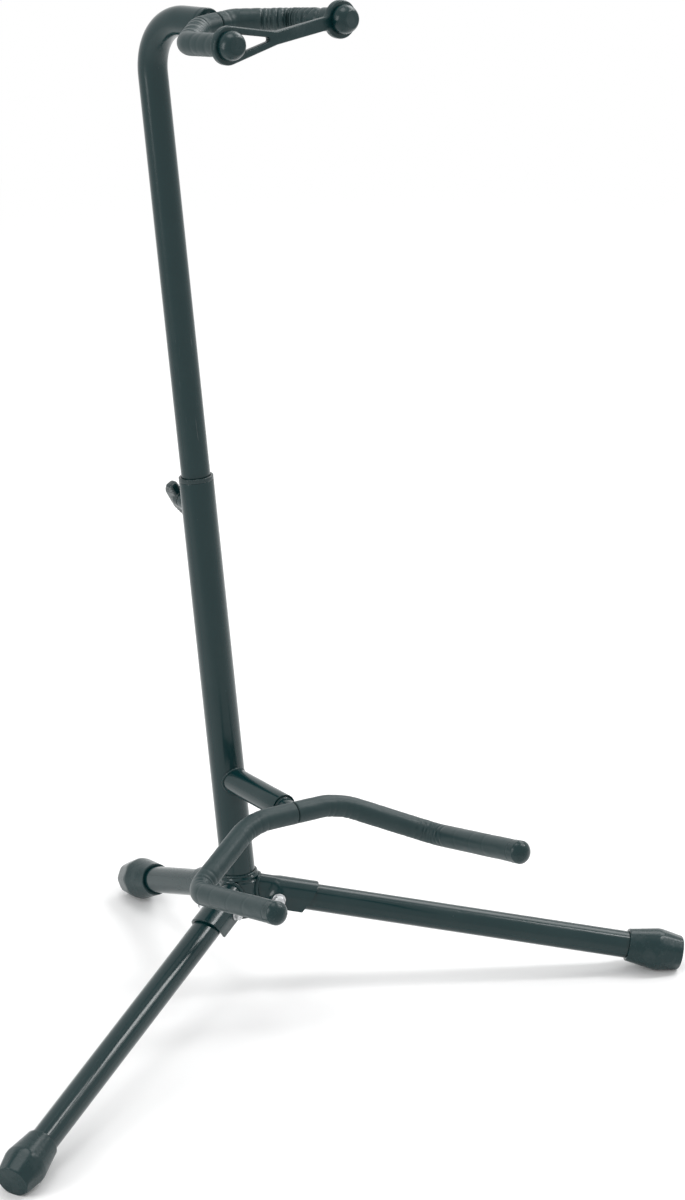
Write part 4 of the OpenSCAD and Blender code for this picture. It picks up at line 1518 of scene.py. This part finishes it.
stub = {
    "radius": 0.0095,
    "bore": 0.008,
    "foot": 0.001,
    "gap": 0.0055,
    "stem": 0.00795,
    "stemDepth": 0.018,
    "stemLip": 0.0002,
    "neck": 0.007,
    "neckStart": 0.0009,
}
block = {"core": 0.0065, "flange": 0.003, "round": 0.0009, "depth": 0.012}
bars = {"radius": 0.005, "step": 0.002, "sides": 40}
stubEnd = stance["cradleReach"] - cradle["sleeve"] - stub["gap"]


def makeStub():
    radius, bore, foot = stub["radius"], stub["bore"], stub["foot"]
    corners = [(bore, foot), (radius, foot), (radius, stubEnd, ease["firm"]), (bore, stubEnd, ease["fine"])]
    bm = spun(corners, closed=True, arcSteps=4, spacing=0.02)
    reach, along = drillReach["stub"], onStub.inverted() @ stubFoot
    saddle = rod(tubes["column"] + gap["seated"], -reach, reach, along, steps=128)
    bm = shifted(drill(bm, saddle), onStub)
    line = ringOn(onStub, radius, tubes["column"] + welds["lift"])
    joinInto(bm, bead(line, welds["stub"], 4.0, closed=True))
    addPiece("cradle_stub", bm, paint)


def makeStem():
    radius, neck, low, end = stub["stem"], stub["neck"], stubEnd - stub["stemDepth"], stance["cradleReach"]
    corners = [(0, low), (radius, low, ease["soft"]), (radius, stubEnd + stub["stemLip"], ease["soft"]),
               (neck, stubEnd + stub["neckStart"], ease["soft"]), (neck, end), (0, end)]
    bm = spun(corners, arcSteps=4, steps=80)
    reach, along = drillReach["bar"], onStub.inverted() @ onCradle @ turned(90, "Y")
    hole = rod(cradle["bore"], -reach, reach, along)
    addPiece("cradle_stem", drill(bm, hole), paint, onStub)


def makeBlock():
    # origin in the rod's axis, Z back into the mast
    core, tail, mast = block["core"], tubes["blockTail"], tubes["mast"]
    bore, front, end = mast - tubes["wall"] - gap["seated"], tail - block["flange"], tail + block["depth"]
    corners = [(0, 0), (core, 0), (core, front, ease["soft"]), (mast, front, block["round"]), (mast, tail),
               (bore, tail), (bore, end, ease["full"]), (0, end)]
    bm = spun(corners, steps=80)
    bm = drill(bm, rod(yoke["bore"], -drillReach["bar"], drillReach["bar"], turned(90, "Y")))
    addPiece("yoke_block", bm, paint, onYoke @ turned(-90, "X"))


def makeRod(name, shape, corner, end, place):
    half = [Vector((shape["middle"], 0, 0)), corner, end]
    points = [Vector((-point.x, point.y, point.z)) for point in reversed(half)] + half
    halfBends = [shape["shoulderRadius"], shape["cornerRadius"], 0]
    bends = halfBends[::-1] + halfBends
    _, length = bendPlaces(points, bends)

    def skin(s, out):
        return bars["radius"] - (ease["plain"] if min(s, length - s) < ease["plain"] else 0.0)

    bm = solidBar(*pathFrames(points, bends, bars["step"]), skin, bars["sides"])
    addPiece(name + "_rod", bm, steel, place, angle=40)


yokeEnd = yokeBall + yoke["ballBack"] * (yokeBall - yokeCorner).normalized()
makeStub()
makeStem()
makeBlock()
makeRod("cradle", cradle, cradleCorner, cradleEnd, onCradle)
makeRod("yoke", yoke, yokeCorner, yokeEnd, onYoke)
print("joining parts: 5 pieces")


# Camera, lamps, floor

view = {
    "place": (-1.4022, -2.2700, 1.5859),
    "azimuth": -33.0,
    "elevation": 25.36,
    "lens": 125.56,
    "sensor": 36,
    "farthest": 50,
}
lamps = {
    "softLeft": {"place": (-1.8, 0.1, 1.0), "target": (0, 0, 0.35), "size": (0.5, 1.4), "power": 13},
    "softTop": {"place": (0, 0.3, 2.3), "target": (0, 0, 0.3), "size": (0.8, 0.8), "power": 8},
    "softRight": {"place": (1.37, 0.63, 1.48), "target": (0.1, -0.05, 0.05), "size": (0.9, 0.8),
                  "power": 9},
    "stripRight": {"place": (1.28, -0.42, 1.56), "target": (-0.1, -0.05, 0.05), "size": (0.24, 1.0),
                   "power": 11},
}
studio = {
    "light": 0.8,
    "white": (1.0, 1.0, 1.0),
    "floor": (0.93, 0.93, 0.93),
    "floorRoughness": 0.7,
    "floorSpecular": 0.2,
    "floorHalf": 6,
    "fade": (0.9, 1.8),
}


def looking(way):
    return way.to_track_quat("-Z", "Y").to_euler()


def makeCamera():
    data = bpy.data.cameras.new("camera")
    data.lens = view["lens"]
    data.sensor_width = view["sensor"]
    data.clip_end = view["farthest"]
    camera = bpy.data.objects.new("camera", data)
    scene.collection.objects.link(camera)
    turn, rise = math.radians(view["azimuth"]), math.radians(view["elevation"])
    back = Vector((math.sin(turn) * math.cos(rise), -math.cos(turn) * math.cos(rise), math.sin(rise)))
    camera.location = view["place"]
    camera.rotation_euler = looking(-back)
    scene.camera = camera


def makeLamp(name, place, target, size, power):
    data = bpy.data.lights.new(name, "AREA")
    data.shape = "RECTANGLE"
    data.size, data.size_y = size
    data.energy = power
    lamp = bpy.data.objects.new(name, data)
    scene.collection.objects.link(lamp)
    lamp.location = place
    lamp.rotation_euler = looking(Vector(target) - Vector(place))


def makeFloor():
    bm = bmesh.new()
    bmesh.ops.create_grid(bm, x_segments=1, y_segments=1, size=studio["floorHalf"])
    floor = holderOf(bm, "floor")
    finish = Finish("floorPale")
    near = finish.node("ShaderNodeBsdfPrincipled", {}, {
        "Base Color": studio["floor"], "Roughness": studio["floorRoughness"],
        "Specular IOR Level": studio["floorSpecular"]})
    far = finish.node("ShaderNodeEmission", {}, {"Color": studio["white"], "Strength": 1.0})
    spot = finish.node("ShaderNodeVectorMath", {"operation": "LENGTH"}, {0: finish.place})
    fade = finish.ramp(spot.outputs["Value"], *studio["fade"]) * finish.seen()  # the far end goes white
    both = finish.node("ShaderNodeMixShader", {}, {0: fade, 1: near.outputs[0], 2: far.outputs[0]})
    floor.data.materials.append(finish.output(both))


def makeWorld():
    world = bpy.data.worlds.new("studio")
    nodes = Nodes(world)
    strength = nodes.number("ShaderNodeMapRange", {}, {
        "Value": nodes.seen(), "To Min": studio["light"], "To Max": 1.0})
    shader = nodes.node("ShaderNodeBackground", {}, {"Color": studio["white"], "Strength": strength})
    nodes.node("ShaderNodeOutputWorld", {}, {"Surface": shader.outputs[0]})
    scene.world = world


makeCamera()
makeWorld()
for name, lamp in lamps.items():
    makeLamp(name, **lamp)
makeFloor()
scene.view_settings.view_transform = "Standard"
print("stage ready")
